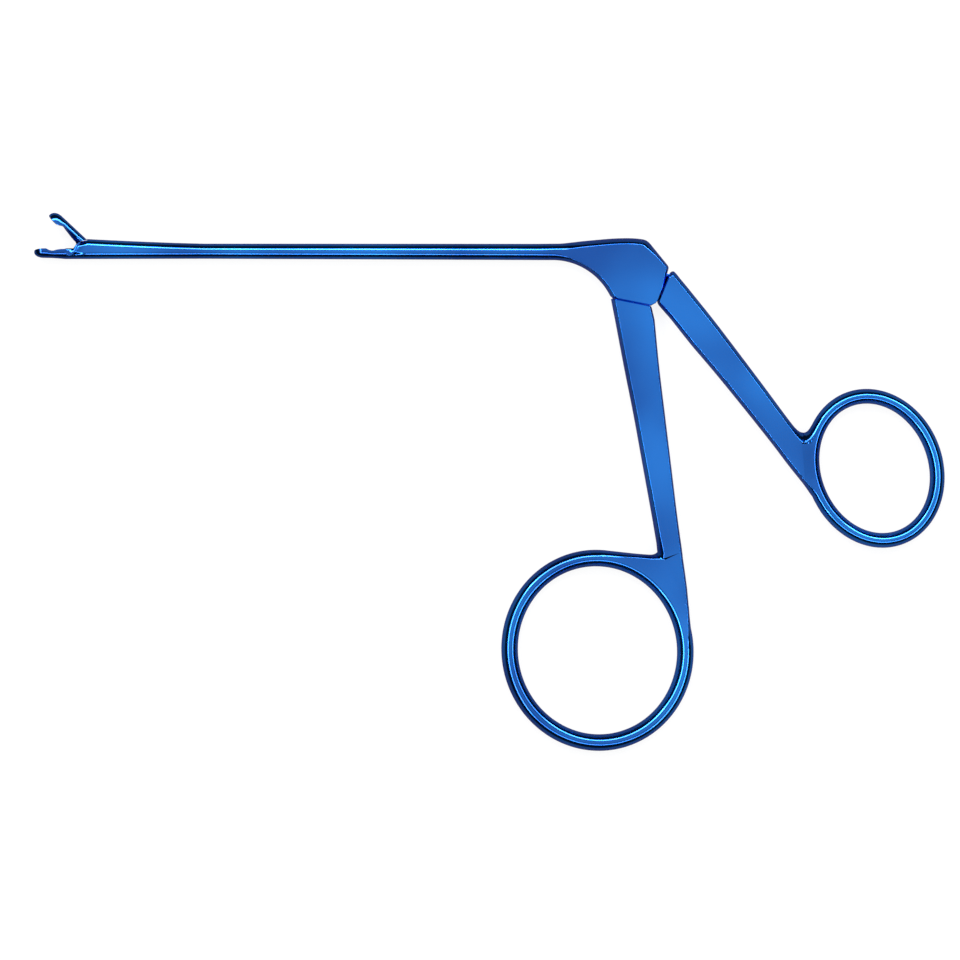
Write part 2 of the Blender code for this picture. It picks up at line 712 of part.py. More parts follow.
def make_upper_jaw():
    item = solid("upper_jaw", loft("upper_jaw", upper_jaw_stations()), blue("upper_jaw"))
    turn_jaw(item)
    origin = Vector((0.0, 0.0))
    crank = CRANK_RADIUS * Vector((math.sin(CRANK_SWING), -math.cos(CRANK_SWING)))
    body = HEEL_REACH + TAIL_NECK_RADIUS
    neck_end = Vector((-math.cos(CRANK_SWING), math.sin(CRANK_SWING))) * body
    low = MIDDLE - TIP_SLOT_CLEARANCE / 2 - TAIL_THICKNESS
    high = MIDDLE - TIP_SLOT_CLEARANCE / 2
    neck = capsule(origin, neck_end, TAIL_BOSS_RADIUS, TAIL_NECK_RADIUS)
    eye = capsule(origin, crank, TAIL_BOSS_RADIUS - 0.005 * MM, CRANK_EYE_RADIUS)
    through = (low - 0.5 * MM, high + 0.5 * MM)
    tools = [
        join(item, "tail", prism("tail", neck, low, high)),
        join(item, "crank", prism("crank", eye, low, high)),
        cut(item, "cup", cup_hollow("upper_cup", -UPPER_JAW_LENGTH, UPPER_RIM)),
        cut(item, "hole", pin("hole", origin, JAW_PIN_RADIUS + RUNNING_FIT, *through, SMALL_PIN_SIDES)),
        cut(item, "eye", pin("eye", crank, LINK_PIN_RADIUS + FIXED_FIT, *through, SMALL_PIN_SIDES)),
    ]
    for tool in tools:
        turn_jaw(tool)
    return item


def move_origin(item, origin):
    """Puts an object's origin on the axis that it moves about, and leaves its shape in place."""
    item.data.transform(Matrix.Translation((-origin.x, -origin.y, 0.0)))
    item.location = (origin.x, origin.y, 0.0)


def make_jaw_pins():
    low = MIDDLE - SHAFT_TIP_RADIUS + 0.02 * MM
    mesh = pin("jaw_pin", HINGE, JAW_PIN_RADIUS, low, MIDDLE + JAW_PIN_TOP, SMALL_PIN_SIDES)
    solid("jaw_pin", mesh, bare("jaw_pin"))
    reach = TAIL_THICKNESS + TIP_SLOT_CLEARANCE / 2
    mesh = pin("link_pin", LINK, LINK_PIN_RADIUS, MIDDLE - reach, MIDDLE + reach, SMALL_PIN_SIDES)
    item = solid("link_pin", mesh, bare("link_pin"))
    move_origin(item, HINGE)


# Drive rod


def make_drive_rod():
    blade_start = LINK.x - 0.36 * MM
    blade_end = HINGE.x + 1.05 * MM
    block = NOSE.x - ROD_BLOCK_HALF_LENGTH
    mesh = bar("drive_rod", blade_end - 0.6 * MM, block + 0.5 * MM, ROD_HEIGHT, ROD_RADIUS)
    item = solid("drive_rod", mesh, bare("drive_rod"))

    low = MIDDLE + TIP_SLOT_CLEARANCE / 2
    high = low + TAIL_THICKNESS
    bottom = -TIP_SLOT_FLOOR + 0.10 * MM
    top = HINGE.y - JAW_PIN_RADIUS - 0.12 * MM
    blade = [
        Vector((blade_start, bottom)),
        Vector((blade_end, bottom)),
        Vector((blade_end, top)),
        Vector((blade_start, top)),
    ]
    join(item, "blade", prism("blade", blade, low, high))
    slack = LINK_RISE / 2 + 0.01 * MM
    middle = LINK - Vector((0.0, LINK_RISE / 2))
    ends = (middle + Vector((0.0, slack)), middle - Vector((0.0, slack)))
    eye = capsule(*ends, LINK_PIN_RADIUS + 0.03 * MM, LINK_PIN_RADIUS + 0.03 * MM)
    cut(item, "eye", prism("rod_eye", eye, low - 0.2 * MM, high + 0.2 * MM))

    notch = NOSE_RADIUS + SIDE_FIT
    ceiling = NOSE.y + NOSE_RADIUS + 0.12 * MM
    outline = [
        (-ROD_BLOCK_HALF_LENGTH, ROD_BLOCK_TOP),
        (-ROD_BLOCK_HALF_LENGTH, ROD_BLOCK_BOTTOM),
        (-notch, ROD_BLOCK_BOTTOM),
        (-notch, ceiling),
        (notch, ceiling),
        (notch, ROD_BLOCK_BOTTOM),
        (ROD_BLOCK_HALF_LENGTH, ROD_BLOCK_BOTTOM),
        (ROD_BLOCK_HALF_LENGTH, ROD_BLOCK_TOP),
    ]
    outline = [Vector((NOSE.x + x, y)) for x, y in outline]
    half = TONGUE_THICKNESS / 2
    join(item, "block", prism("block", outline, MIDDLE - half, MIDDLE + half))
    move_origin(item, Vector((LINK.x, ROD_HEIGHT)))


# Front handle


LARGE_RING = (LARGE_RING_CENTER, LARGE_RING_HOLE, LARGE_RING_WIDTH, LARGE_RING_TILT)

# Points on the front handle's outer and inner edges, in pairs from the seam to the web's corner,
# with the inner band in millimetres
FRONT_ROWS = [
    (2.52, -10.1, -3.32, -10.1, 0.38),
    (3.22, -17.2, -1.97, -17.2, 0.40),
    (4.08, -24.3, -0.55, -24.3, 0.42),
    (4.95, -31.4, 0.74, -31.4, 0.46),
    (5.78, -38.2, 1.98, -38.2, 0.52),
    (6.28, -41.9, 2.62, -41.9, 0.58),
    (6.45, -43.1, 2.82, -43.1, 0.64),
    (6.56, -44.0, 2.90, -44.0, 0.80),
]

# The crease that ends the flat face: x and y of the outer edge, share along the crease
FRONT_CREASE = in_mm([(3.72, -45.28), (7.30, -52.75)])
FRONT_WEDGE = [(6.73, -45.3, 0.0), (7.06, -47.6, 0.33), (7.33, -49.6, 0.60), (7.50, -51.4, 0.83), (7.60, -52.6, 0.97)]

# The web's edge: x and y, the angle on the ring in degrees, and the band in millimetres
FRONT_WEB_ROWS = [
    (-5.38, -44.04, 346.0, 1.06),
    (-4.2, -44.14, 341.0, 0.96),
    (-3.0, -44.27, 336.5, 0.84),
    (-1.7, -44.41, 332.0, 0.72),
    (-0.4, -44.55, 327.5, 0.64),
    (0.9, -44.66, 323.0, 0.62),
    (1.85, -44.72, 319.5, 0.64),
    (2.44, -44.60, 316.5, 0.70),
    (2.76, -44.22, 313.5, 0.86),
    (2.84, -43.66, 311.0, 1.10),
    (2.98, -43.05, 309.0, 1.40),
]
FRONT_WEB_INNER = [(3.95, -45.55, 305.0), (5.50, -48.60, 297.5), (6.60, -50.90, 290.0)]
FRONT_WEB_END = [
    (7.62, -52.4, 284.5, 0.38),
    (7.72, -53.8, 279.0, 0.42),
    (7.95, -55.8, 271.0, 0.62),
    (8.18, -57.6, 263.5, 0.90),
]


def ring_inside(ring, degrees, inset):
    """A point on a finger ring's outer edge, drawn in by the inset."""
    center, hole, width, tilt = ring
    reach = (hole[0] + width - inset, hole[1] + width - inset)
    return ellipse_point(center, reach, tilt, math.radians(degrees))


def front_shank():
    creases = (EDGE_CREASE, EDGE_CREASE)
    halves = (HALF_THICKNESS, HALF_THICKNESS)
    start = seam_down() * (SEAM_GAP / 2 + SEAM_BEVEL)
    first = Station(SEAM[0] + start, SEAM[1] + start, halves, (FRONT_BAND, FRONT_BAND), creases)
    stations = [bevelled_end(first, SEAM_BEVEL, seam_down() * -SEAM_BEVEL), first]
    for row in smooth_curve([Vector(row) for row in FRONT_ROWS], CURVE_STEPS):
        outer = Vector(row[:2]) * MM
        inner = Vector(row[2:4]) * MM
        stations.append(Station(outer, inner, halves, (FRONT_BAND, row[4] * MM), creases))
    corner, end = FRONT_CREASE
    for x, y, share in FRONT_WEDGE:
        point = corner.lerp(end, share)
        stations.append(Station((x * MM, y * MM), point, halves, (FRONT_BAND, 0.0), (EDGE_CREASE, 0.0)))
    return loft("front_handle", stations)


def web_station(point, ring, degrees, band, rise, crease=0.0):
    """A section of a web: its edge at the point, its other side on the ring's crown."""
    half = RING_HALF - 0.02 * MM
    edge_half = half + (HALF_THICKNESS - 0.01 * MM - half) * rise
    return Station(point, ring_middle(*ring, degrees), (edge_half, half), (band, 0.0), (crease, 0.0))


def front_web():
    """The flat web between the crease and the ring, which slopes down to the ring's crown."""
    inset = 0.10 * MM
    stations = []
    for degrees in (360.0, 353.0):
        point = ring_inside(LARGE_RING, degrees, inset * (degrees - 346.0) / 14.0)
        stations.append(web_station(point, LARGE_RING, degrees, 1.14 * MM, 0.0))
    rows = smooth_curve([Vector(row) for row in FRONT_WEB_ROWS], CURVE_STEPS)
    for index, (x, y, degrees, band) in enumerate(rows):
        rise = index / (len(rows) - 1)
        point = Vector((x, y)) * MM
        stations.append(web_station(point, LARGE_RING, degrees, band * MM, rise, EDGE_CREASE * rise))
    for x, y, degrees in FRONT_WEB_INNER:
        stations.append(web_station(Vector((x, y)) * MM, LARGE_RING, degrees, 0.0, 1.0))
    for index, (x, y, degrees, band) in enumerate(FRONT_WEB_END):
        rise = 1 - index / len(FRONT_WEB_END)
        point = Vector((x, y)) * MM
        stations.append(web_station(point, LARGE_RING, degrees, band * MM, rise, EDGE_CREASE * rise))
    point = ring_inside(LARGE_RING, 254.0, inset)
    stations.append(web_station(point, LARGE_RING, 254.0, 1.14 * MM, 0.0))
    return loft("front_web", stations)


def front_tongue():
    right = FRONT_TONGUE_RIGHT
    socket = PIVOT_BOSS_RADIUS + FRONT_TONGUE_CLEARANCE
    shoulder = PIVOT.y + 1.15 * MM
    outline = [
        Vector((FRONT_TONGUE_LEFT, SEAM[1].y - 1.4 * MM)),
        Vector((right, SEAM[0].y - 1.0 * MM)),
        Vector((right, PIVOT.y - socket - 0.25 * MM)),
        *arc(PIVOT, socket, math.radians(-100), math.radians(-180), 8),
        Vector((-socket, shoulder)),
        Vector((FRONT_TONGUE_LEFT, shoulder)),
    ]
    half = TONGUE_THICKNESS / 2
    return prism("front_tongue", outline, MIDDLE - half, MIDDLE + half)


def make_front_handle():
    item = solid("front_handle", front_shank(), blue("front_handle"))
    join(item, "web", front_web())
    join(item, "ring", finger_ring("large_ring", *LARGE_RING))
    join(item, "tongue", front_tongue())
    for index, center in enumerate(DOWELS):
        name = f"hole_{index}"
        hole = DOWEL_RADIUS + FIXED_FIT
        cut(item, name, pin("front_" + name, center, hole, 0.0, HEAD_THICKNESS, SMALL_PIN_SIDES))
    return item


def make_dowels():
    for name, center in zip(("handle_dowel_upper", "handle_dowel_lower"), DOWELS):
        top = HEAD_THICKNESS - BLIND_SKIN - FIXED_FIT
        mesh = pin(name, center, DOWEL_RADIUS, 0.02 * MM, top, SMALL_PIN_SIDES)
        solid(name, mesh, bare(name))


# Rear handle


SMALL_RING = (SMALL_RING_CENTER, SMALL_RING_HOLE, SMALL_RING_WIDTH, SMALL_RING_TILT)

# Points on the rear handle's outer and inner edges, in pairs from its end to the crease, with the
# two bands in millimetres
REAR_ROWS = [
    (4.72, -3.30, 3.02, -7.38, 0.30, 0.10),
    (4.94, -3.00, 3.06, -7.62, 0.46, 0.16),
    (5.30, -2.86, 3.16, -7.92, 0.66, 0.24),
    (5.66, -3.12, 3.40, -8.30, 0.68, 0.32),
    (6.40, -4.02, 4.00, -9.08, 0.68, 0.38),
    (7.81, -5.72, 5.03, -10.20, 0.68, 0.38),
    (11.35, -10.1, 8.05, -13.80, 0.68, 0.38),
    (15.0, -14.85, 11.60, -17.95, 0.68, 0.38),
    (18.6, -19.6, 15.30, -22.45, 0.68, 0.38),
    (21.9, -24.02, 19.60, -27.80, 0.68, 0.38),
    (23.1, -25.58, 21.90, -30.80, 0.74, 0.38),
    (23.75, -26.28, 23.30, -32.60, 1.00, 0.38),
    (24.25, -26.62, 24.70, -34.30, 1.50, 0.38),
]

# The web's edge: x and y, the angle on the ring in degrees, and the band in millimetres
REAR_WEB_ROWS = [
    (26.62, -24.44, 211.0, 1.02),
    (26.05, -25.36, 216.0, 0.98),
    (25.60, -26.06, 220.0, 0.98),
    (25.15, -26.50, 224.0, 1.06),
    (24.70, -26.68, 228.0, 1.24),
    (24.12, -26.70, 231.0, 1.46),
]
REAR_WEB_INNER = [(23.95, -28.6, 235.0), (23.95, -31.0, 244.0), (24.20, -33.4, 254.0)]
REAR_WEB_END = [
    (24.61, -34.20, 259.0, 0.38),
    (24.96, -34.66, 261.5, 0.42),
    (25.62, -35.62, 268.0, 0.50),
]


def rear_shank():
    creases = (EDGE_CREASE, EDGE_CREASE)
    halves = (HALF_THICKNESS, HALF_THICKNESS)
    stations = []
    for row in smooth_curve([Vector(row) for row in REAR_ROWS], CURVE_STEPS):
        bands = (row[4] * MM, row[5] * MM)
        stations.append(Station(Vector(row[:2]) * MM, Vector(row[2:4]) * MM, halves, bands, creases))
    end = stations[0]
    inward = (stations[1].first + stations[1].second - end.first - end.second).normalized()
    stations[0] = bevelled_end(end, SEAM_BEVEL / 2, Vector((0.0, 0.0)))
    stations.insert(1, Station(end.first, end.second, halves, end.bands, creases))
    for station in stations[1:2]:
        station.first = station.first + inward * SEAM_BEVEL / 2
        station.second = station.second + inward * SEAM_BEVEL / 2
    return loft("rear_handle", stations)


def rear_web():
    """The web between the shank's end and the ring, which slopes down to the ring's crown."""
    inset = 0.10 * MM
    stations = []
    for degrees in (199.0, 205.0):
        point = ring_inside(SMALL_RING, degrees, inset * (211.0 - degrees) / 12.0)
        stations.append(web_station(point, SMALL_RING, degrees, 1.04 * MM, 0.0))
    rows = smooth_curve([Vector(row) for row in REAR_WEB_ROWS], CURVE_STEPS)
    for index, (x, y, degrees, band) in enumerate(rows):
        rise = index / (len(rows) - 1)
        point = Vector((x, y)) * MM
        stations.append(web_station(point, SMALL_RING, degrees, band * MM, rise, EDGE_CREASE * rise))
    for x, y, degrees in REAR_WEB_INNER:
        stations.append(web_station(Vector((x, y)) * MM, SMALL_RING, degrees, 0.0, 1.0))
    for index, (x, y, degrees, band) in enumerate(REAR_WEB_END):
        rise = 1 - index / len(REAR_WEB_END)
        point = Vector((x, y)) * MM
        stations.append(web_station(point, SMALL_RING, degrees, band * MM, rise, EDGE_CREASE * rise))
    for degrees, inset, band in ((275.5, -0.02, 0.58), (285.0, -0.02, 0.76), (296.0, 0.02, 0.94), (308.0, 0.10, 1.04)):
        point = ring_inside(SMALL_RING, degrees, inset * MM)
        stations.append(web_station(point, SMALL_RING, degrees, band * MM, 0.0))
    return loft("rear_web", stations)


def make_rear_handle():
    item = solid("rear_handle", rear_shank(), blue("rear_handle"))
    join(item, "web", rear_web())
    join(item, "ring", finger_ring("small_ring", *SMALL_RING))
    half = TONGUE_THICKNESS / 2
    faces = (MIDDLE - half, MIDDLE + half)
    neck = capsule(PIVOT, Vector(REAR_NECK_END), PIVOT_BOSS_RADIUS, REAR_NECK_RADIUS, 14)
    join(item, "neck", prism("neck", neck, *faces))
    arm = capsule(PIVOT, NOSE, 0.95 * MM, NOSE_ARM_RADIUS)
    join(item, "arm", prism("arm", arm, *faces))
    join(item, "nose", pin("nose", NOSE, NOSE_RADIUS, *faces))
    hole = PIVOT_RADIUS + RUNNING_FIT
    cut(item, "pivot_hole", pin("pivot_hole", PIVOT, hole, 0.0, HEAD_THICKNESS))
    move_origin(item, PIVOT)
    return item


def make_pivot_screw():
    top = HEAD_THICKNESS - BLIND_SKIN - FIXED_FIT
    mesh = pin("pivot_screw", PIVOT, PIVOT_RADIUS, 0.2 * MM, top)
    item = solid("pivot_screw", mesh, bare("pivot_screw"))
    join(item, "head", pin("screw_head", PIVOT, PIVOT_HEAD_RADIUS, 0.02 * MM, PIVOT_HEAD_HEIGHT))
    half = Vector((PIVOT_HEAD_RADIUS + 0.2 * MM, DRIVER_SLOT_WIDTH / 2))
    corners = [(-half.x, -half.y), (half.x, -half.y), (half.x, half.y), (-half.x, half.y)]
    outline = [PIVOT + Vector(corner) for corner in corners]
    cut(item, "driver_slot", prism("driver_slot", outline, -0.5 * MM, DRIVER_SLOT_DEPTH))


def main():
    clear_scene()
    make_shaft_head()
    make_upper_jaw()
    make_jaw_pins()
    make_drive_rod()
    make_front_handle()
    make_dowels()
    make_rear_handle()
    make_pivot_screw()


main()
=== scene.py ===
"""Ear cup forceps in polished blue anodised metal, seen from above on a pale floor."""

import json
import math

import bmesh
import bpy
from mathutils import Matrix, Vector


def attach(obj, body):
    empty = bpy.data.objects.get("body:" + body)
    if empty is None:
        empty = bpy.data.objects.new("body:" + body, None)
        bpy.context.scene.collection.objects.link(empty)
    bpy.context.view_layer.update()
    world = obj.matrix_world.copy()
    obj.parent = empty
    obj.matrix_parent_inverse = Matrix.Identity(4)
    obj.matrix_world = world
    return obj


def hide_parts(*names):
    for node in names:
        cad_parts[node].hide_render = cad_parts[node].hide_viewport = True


MM = 0.001

# Thickness of the parts that lie on the table
HEAD_THICKNESS = 3.2 * MM
RING_THICKNESS = 3.0 * MM

# Outer shaft
SHAFT_TIP_RADIUS = 1.11 * MM
SHAFT_ROOT_RADIUS = 1.24 * MM
SHAFT_FLARE_LENGTH = 18.0 * MM
SHAFT_FLARE_TOP = 1.80 * MM
SHAFT_FLARE_POWER = 1.3
SHAFT_FOOT_DROP = 0.07 * MM
SHAFT_BORE_RADIUS = 0.55 * MM

# Jaws, with lengths taken from the hinge
JAW_HINGE_DISTANCE = 82.3 * MM
JAW_HINGE_HEIGHT = 0.40 * MM
JAW_OPENING = math.radians(43.0)
LOWER_JAW_LENGTH = 7.05 * MM
UPPER_JAW_LENGTH = 6.85 * MM
JAW_PARTING_HEIGHT = 0.38 * MM
JAW_PARTING_GAP = 0.04 * MM
JAW_EDGE = 0.12 * MM
CUP_LENGTH = 1.45 * MM
CUP_HALF_WIDTH = 1.02 * MM
CUP_DEPTH = 1.40 * MM
CUP_WALL = 0.26 * MM
LOWER_TIP_DROP = 0.55 * MM
UPPER_TIP_RISE = 0.28 * MM
LOWER_HEEL_DISTANCE = 2.45 * MM
UPPER_NECK_RISE = 0.40 * MM
LOWER_NECK_DIP = 0.32 * MM
HEEL_REACH = 1.06 * MM
HEEL_SLANT = math.radians(56.0)
CHEEK_GAP = 0.05 * MM
CHEEK_RELIEF_REACH = 0.70 * MM
CHEEK_RELIEF_HALF = 0.80 * MM
CRANK_RADIUS = 0.77 * MM
JAW_PIN_RADIUS = 0.25 * MM
LINK_PIN_RADIUS = 0.15 * MM
JAW_PIN_TOP = 0.92 * MM
TAIL_THICKNESS = 0.50 * MM
TAIL_NECK_RADIUS = 0.42 * MM
TAIL_BOSS_RADIUS = 0.50 * MM
CRANK_EYE_RADIUS = 0.32 * MM
TIP_SLOT_CLEARANCE = 0.04 * MM
TIP_SLOT_FLOOR = 0.80 * MM
TIP_SLOT_ROOF = 1.05 * MM
TIP_SLOT_BACK = 1.90 * MM

# Drive rod
ROD_HEIGHT = -0.12 * MM
ROD_BLOCK_HALF_LENGTH = 1.35 * MM
ROD_BLOCK_TOP = 0.33 * MM

# Rear handle's pivot, tongue and nose
PIVOT_HEIGHT = -4.59 * MM
PIVOT_RADIUS = 0.80 * MM
PIVOT_BOSS_RADIUS = 1.60 * MM
PIVOT_HEAD_RADIUS = 1.20 * MM
PIVOT_HEAD_HEIGHT = 0.50 * MM
NOSE_DISTANCE = 4.0 * MM
NOSE_RADIUS = 0.55 * MM
NOSE_ARM_RADIUS = 0.36 * MM
TONGUE_THICKNESS = 1.20 * MM
REAR_NECK_END = (5.0 * MM, -4.65 * MM)
REAR_NECK_RADIUS = 1.38 * MM

# Front handle's tongue and its dowels
FRONT_TONGUE_LEFT = -3.10 * MM
FRONT_TONGUE_RIGHT = 0.50 * MM
FRONT_TONGUE_CLEARANCE = 0.20 * MM
DOWEL_RADIUS = 0.40 * MM
DOWELS = [Vector(center) * MM for center in ((-2.45, -4.2), (-0.7, -7.05))]

# Head
THROAT_RADIUS = 9.58 * MM
THROAT_END = math.radians(24.5)
SEAM_LEFT = -3.90 * MM
SEAM_RIGHT = (2.10 * MM, -8.02 * MM)

# Finger rings: half lengths of the hole, width of the band, and the tilt of the long half
LARGE_RING_CENTER = (-5.95 * MM, -58.85 * MM)
LARGE_RING_HOLE = (12.42 * MM, 11.80 * MM)
LARGE_RING_WIDTH = 2.46 * MM
LARGE_RING_TILT = math.radians(102.0)
SMALL_RING_CENTER = (35.30 * MM, -31.97 * MM)
SMALL_RING_HOLE = (9.80 * MM, 7.96 * MM)
SMALL_RING_WIDTH = 2.20 * MM
SMALL_RING_TILT = math.radians(-68.0)

# Edges and fits
THROAT_BAND = 0.40 * MM
FRONT_BAND = 0.38 * MM
REAR_INNER_BAND = 0.38 * MM
EDGE_CREASE = math.radians(28.0)
SEAM_BEVEL = 0.14 * MM
SEAM_GAP = 0.06 * MM
FIXED_FIT = 0.02 * MM
RUNNING_FIT = 0.04 * MM
SIDE_FIT = 0.05 * MM
BLIND_SKIN = 0.30 * MM
WEB_SINK = 0.02 * MM
WEB_INSET = 0.10 * MM
MERGE_DISTANCE = 0.0001 * MM

# Smoothness of the pieces
EDGE_STEPS = 16
CURVE_STEPS = 6
CUP_ANGLES = (5, 10, 16, 23, 31, 40, 50, 60, 70, 80, 90)
CREASE_RADIUS = 0.11 * MM
SHARP_ANGLE = math.radians(24.0)
RING_STEPS = 168
PIN_SIDES = 64
SMALL_PIN_SIDES = 40

# Sizes that follow from those above
MIDDLE = HEAD_THICKNESS / 2
HALF_THICKNESS = HEAD_THICKNESS / 2
RING_HALF = RING_THICKNESS / 2
SLOT_HALF = TONGUE_THICKNESS / 2 + SIDE_FIT
HINGE = Vector((-JAW_HINGE_DISTANCE, JAW_HINGE_HEIGHT))
PIVOT = Vector((0.0, PIVOT_HEIGHT))
CRANK_SWING = JAW_OPENING / 2
ROD_TRAVEL = 2 * CRANK_RADIUS * math.sin(CRANK_SWING)
NOSE_SWING = math.asin(ROD_TRAVEL / 2 / NOSE_DISTANCE)
UPPER_RIM = JAW_PARTING_HEIGHT + JAW_PARTING_GAP - JAW_HINGE_HEIGHT
UPPER_BACK = SHAFT_FLARE_TOP + 0.02 * MM - JAW_HINGE_HEIGHT
THROAT_CENTER = Vector(
    (SEAM_LEFT - THROAT_RADIUS * math.cos(THROAT_END), -SHAFT_ROOT_RADIUS - THROAT_RADIUS)
)
THROAT_WAY = Vector((math.cos(THROAT_END), math.sin(THROAT_END)))
SEAM = (Vector(SEAM_RIGHT), THROAT_CENTER + THROAT_RADIUS * THROAT_WAY)
NOSE = PIVOT + NOSE_DISTANCE * Vector((-math.sin(NOSE_SWING), math.cos(NOSE_SWING)))
TIP_SLOT_HALF = TAIL_THICKNESS + 2 * TIP_SLOT_CLEARANCE - 0.01 * MM

# Camera
AIM = Vector((-23.4, -33.7, 1.6)) * MM
VIEW_TILT = math.radians(6.0)
LENS = 600.0
SENSOR = 36.0
FRAME_WIDTH = 142.08 * MM / 1.003

# Lights: azimuth and elevation in degrees, width and brightness of the strips
STRIP_DISTANCE = 0.9
STRIP_LENGTH = 1.2
STRIPS = {
    "strip_far": (90, 55, 0.20, 9.0),
    "strip_near": (270, 50, 0.14, 4.0),
    "strip_right": (0, 50, 0.16, 5.0),
    "strip_left": (180, 55, 0.18, 7.0),
}

# The sky's brightness by its height, from 0 at the horizon to 1 overhead
SKY = ((0.0, 0.10), (0.20, 0.02), (0.62, 0.03), (0.80, 0.22), (0.93, 0.60), (1.0, 0.85))

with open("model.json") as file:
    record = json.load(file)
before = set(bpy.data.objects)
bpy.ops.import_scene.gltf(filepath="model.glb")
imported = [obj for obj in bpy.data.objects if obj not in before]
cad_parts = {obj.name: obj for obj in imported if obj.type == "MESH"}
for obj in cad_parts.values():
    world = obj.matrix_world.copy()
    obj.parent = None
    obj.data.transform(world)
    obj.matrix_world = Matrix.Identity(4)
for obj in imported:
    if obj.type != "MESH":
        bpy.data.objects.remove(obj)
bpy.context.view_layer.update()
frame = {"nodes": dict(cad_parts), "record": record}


# Curves and outlines in the plane of the handles


def in_mm(points):
    """Points given in millimetres, as vectors in metres."""
    return [Vector(point) * MM for point in points]


def smooth_curve(points, steps):
    """A curve through the points, with the same number of steps in each stretch."""
    ends = [2 * points[0] - points[1], *points, 2 * points[-1] - points[-2]]
    curve = []
    for before, start, stop, after in zip(ends, ends[1:], ends[2:], ends[3:]):
        for step in range(steps):
            t = step / steps
            curve.append(
                start
                + 0.5 * t * (stop - before)
                + t * t * (before - 2.5 * start + 2 * stop - 0.5 * after)
                + t * t * t * (1.5 * (start - stop) + 0.5 * (after - before))
            )
    return [*curve, points[-1]]


def arc(center, radius, start, stop, steps):
    angles = [start + (stop - start) * step / steps for step in range(steps + 1)]
    return [center + radius * Vector((math.cos(a), math.sin(a))) for a in angles]


def capsule(first, second, first_radius, second_radius, steps=28):
    """Outline round two circles and their outer tangents."""
    line = second - first
    heading = math.atan2(line.y, line.x)
    lean = math.acos((first_radius - second_radius) / line.length)
    near = arc(first, first_radius, heading + lean, heading + 2 * math.pi - lean, steps)
    far = arc(second, second_radius, heading - lean, heading + lean, steps)
    return near + far


def ellipse_point(center, halves, tilt, angle):
    along = Vector((math.cos(tilt), math.sin(tilt)))
    across = Vector((-along.y, along.x))
    offset = halves[0] * math.cos(angle) * along + halves[1] * math.sin(angle) * across
    return Vector(center) + offset


# Solids


def mesh_from(bm, name):
    bmesh.ops.remove_doubles(bm, verts=bm.verts, dist=MERGE_DISTANCE)
    bmesh.ops.recalc_face_normals(bm, faces=bm.faces)
    mesh = bpy.data.meshes.new(name)
    bm.to_mesh(mesh)
    bm.free()
    mesh.shade_smooth()
    mesh.set_sharp_from_angle(angle=SHARP_ANGLE)
    return mesh


def solid(name, mesh):
    item = bpy.data.objects.new(name, mesh)
    bpy.context.scene.collection.objects.link(item)
    return item


def baked(item):
    """The item with its cuts and joins made, and its guides gone."""
    weighted = item.modifiers.new("weighted", "WEIGHTED_NORMAL")
    weighted.keep_sharp = True
    bpy.context.view_layer.update()
    made = item.evaluated_get(bpy.context.evaluated_depsgraph_get())
    mesh = bpy.data.meshes.new_from_object(made)
    mesh.transform(item.matrix_world)
    tools = [modifier.object for modifier in item.modifiers if modifier.type == "BOOLEAN"]
    name = item.name
    for gone in [*tools, item]:
        bpy.data.objects.remove(gone, do_unlink=True)
    return solid(name, mesh)


def guide(name, mesh):
    """A solid that only shapes another one, by a cut or a join."""
    item = solid(name, mesh)
    item.hide_render = True
    item.display_type = "WIRE"
    return item


def shape(item, operation, name, mesh):
    """Cuts the mesh out of the item, or joins it on."""
    tool = guide(item.name + "_" + name, mesh)
    modifier = item.modifiers.new(name, "BOOLEAN")
    modifier.operation = operation
    modifier.solver = "EXACT"
    modifier.object = tool
    return tool


def cut(item, name, mesh):
    return shape(item, "DIFFERENCE", name, mesh)


def join(item, name, mesh):
    return shape(item, "UNION", name, mesh)


def prism(name, outline, low, high):
    bm = bmesh.new()
    floor = bm.faces.new([bm.verts.new((*point, low)) for point in outline])
    raised = bmesh.ops.extrude_face_region(bm, geom=[floor])
    verts = [item for item in raised["geom"] if isinstance(item, bmesh.types.BMVert)]
    bmesh.ops.translate(bm, verts=verts, vec=(0, 0, high - low))
    return mesh_from(bm, name)


def pin(name, center, radius, low, high, sides=PIN_SIDES):
    """A round bar along Z."""
    return prism(name, arc(center, radius, 0, 2 * math.pi * (1 - 1 / sides), sides - 1), low, high)


def bar(name, start, stop, height, radius):
    """A round bar along the shaft."""
    bm = bmesh.new()
    place = Matrix.Translation(((start + stop) / 2, height, MIDDLE))
    bmesh.ops.create_cone(
        bm,
        cap_ends=True,
        segments=SMALL_PIN_SIDES,
        radius1=radius,
        radius2=radius,
        depth=stop - start,
        matrix=place @ Matrix.Rotation(math.pi / 2, 4, "Y"),
    )
    return mesh_from(bm, name)


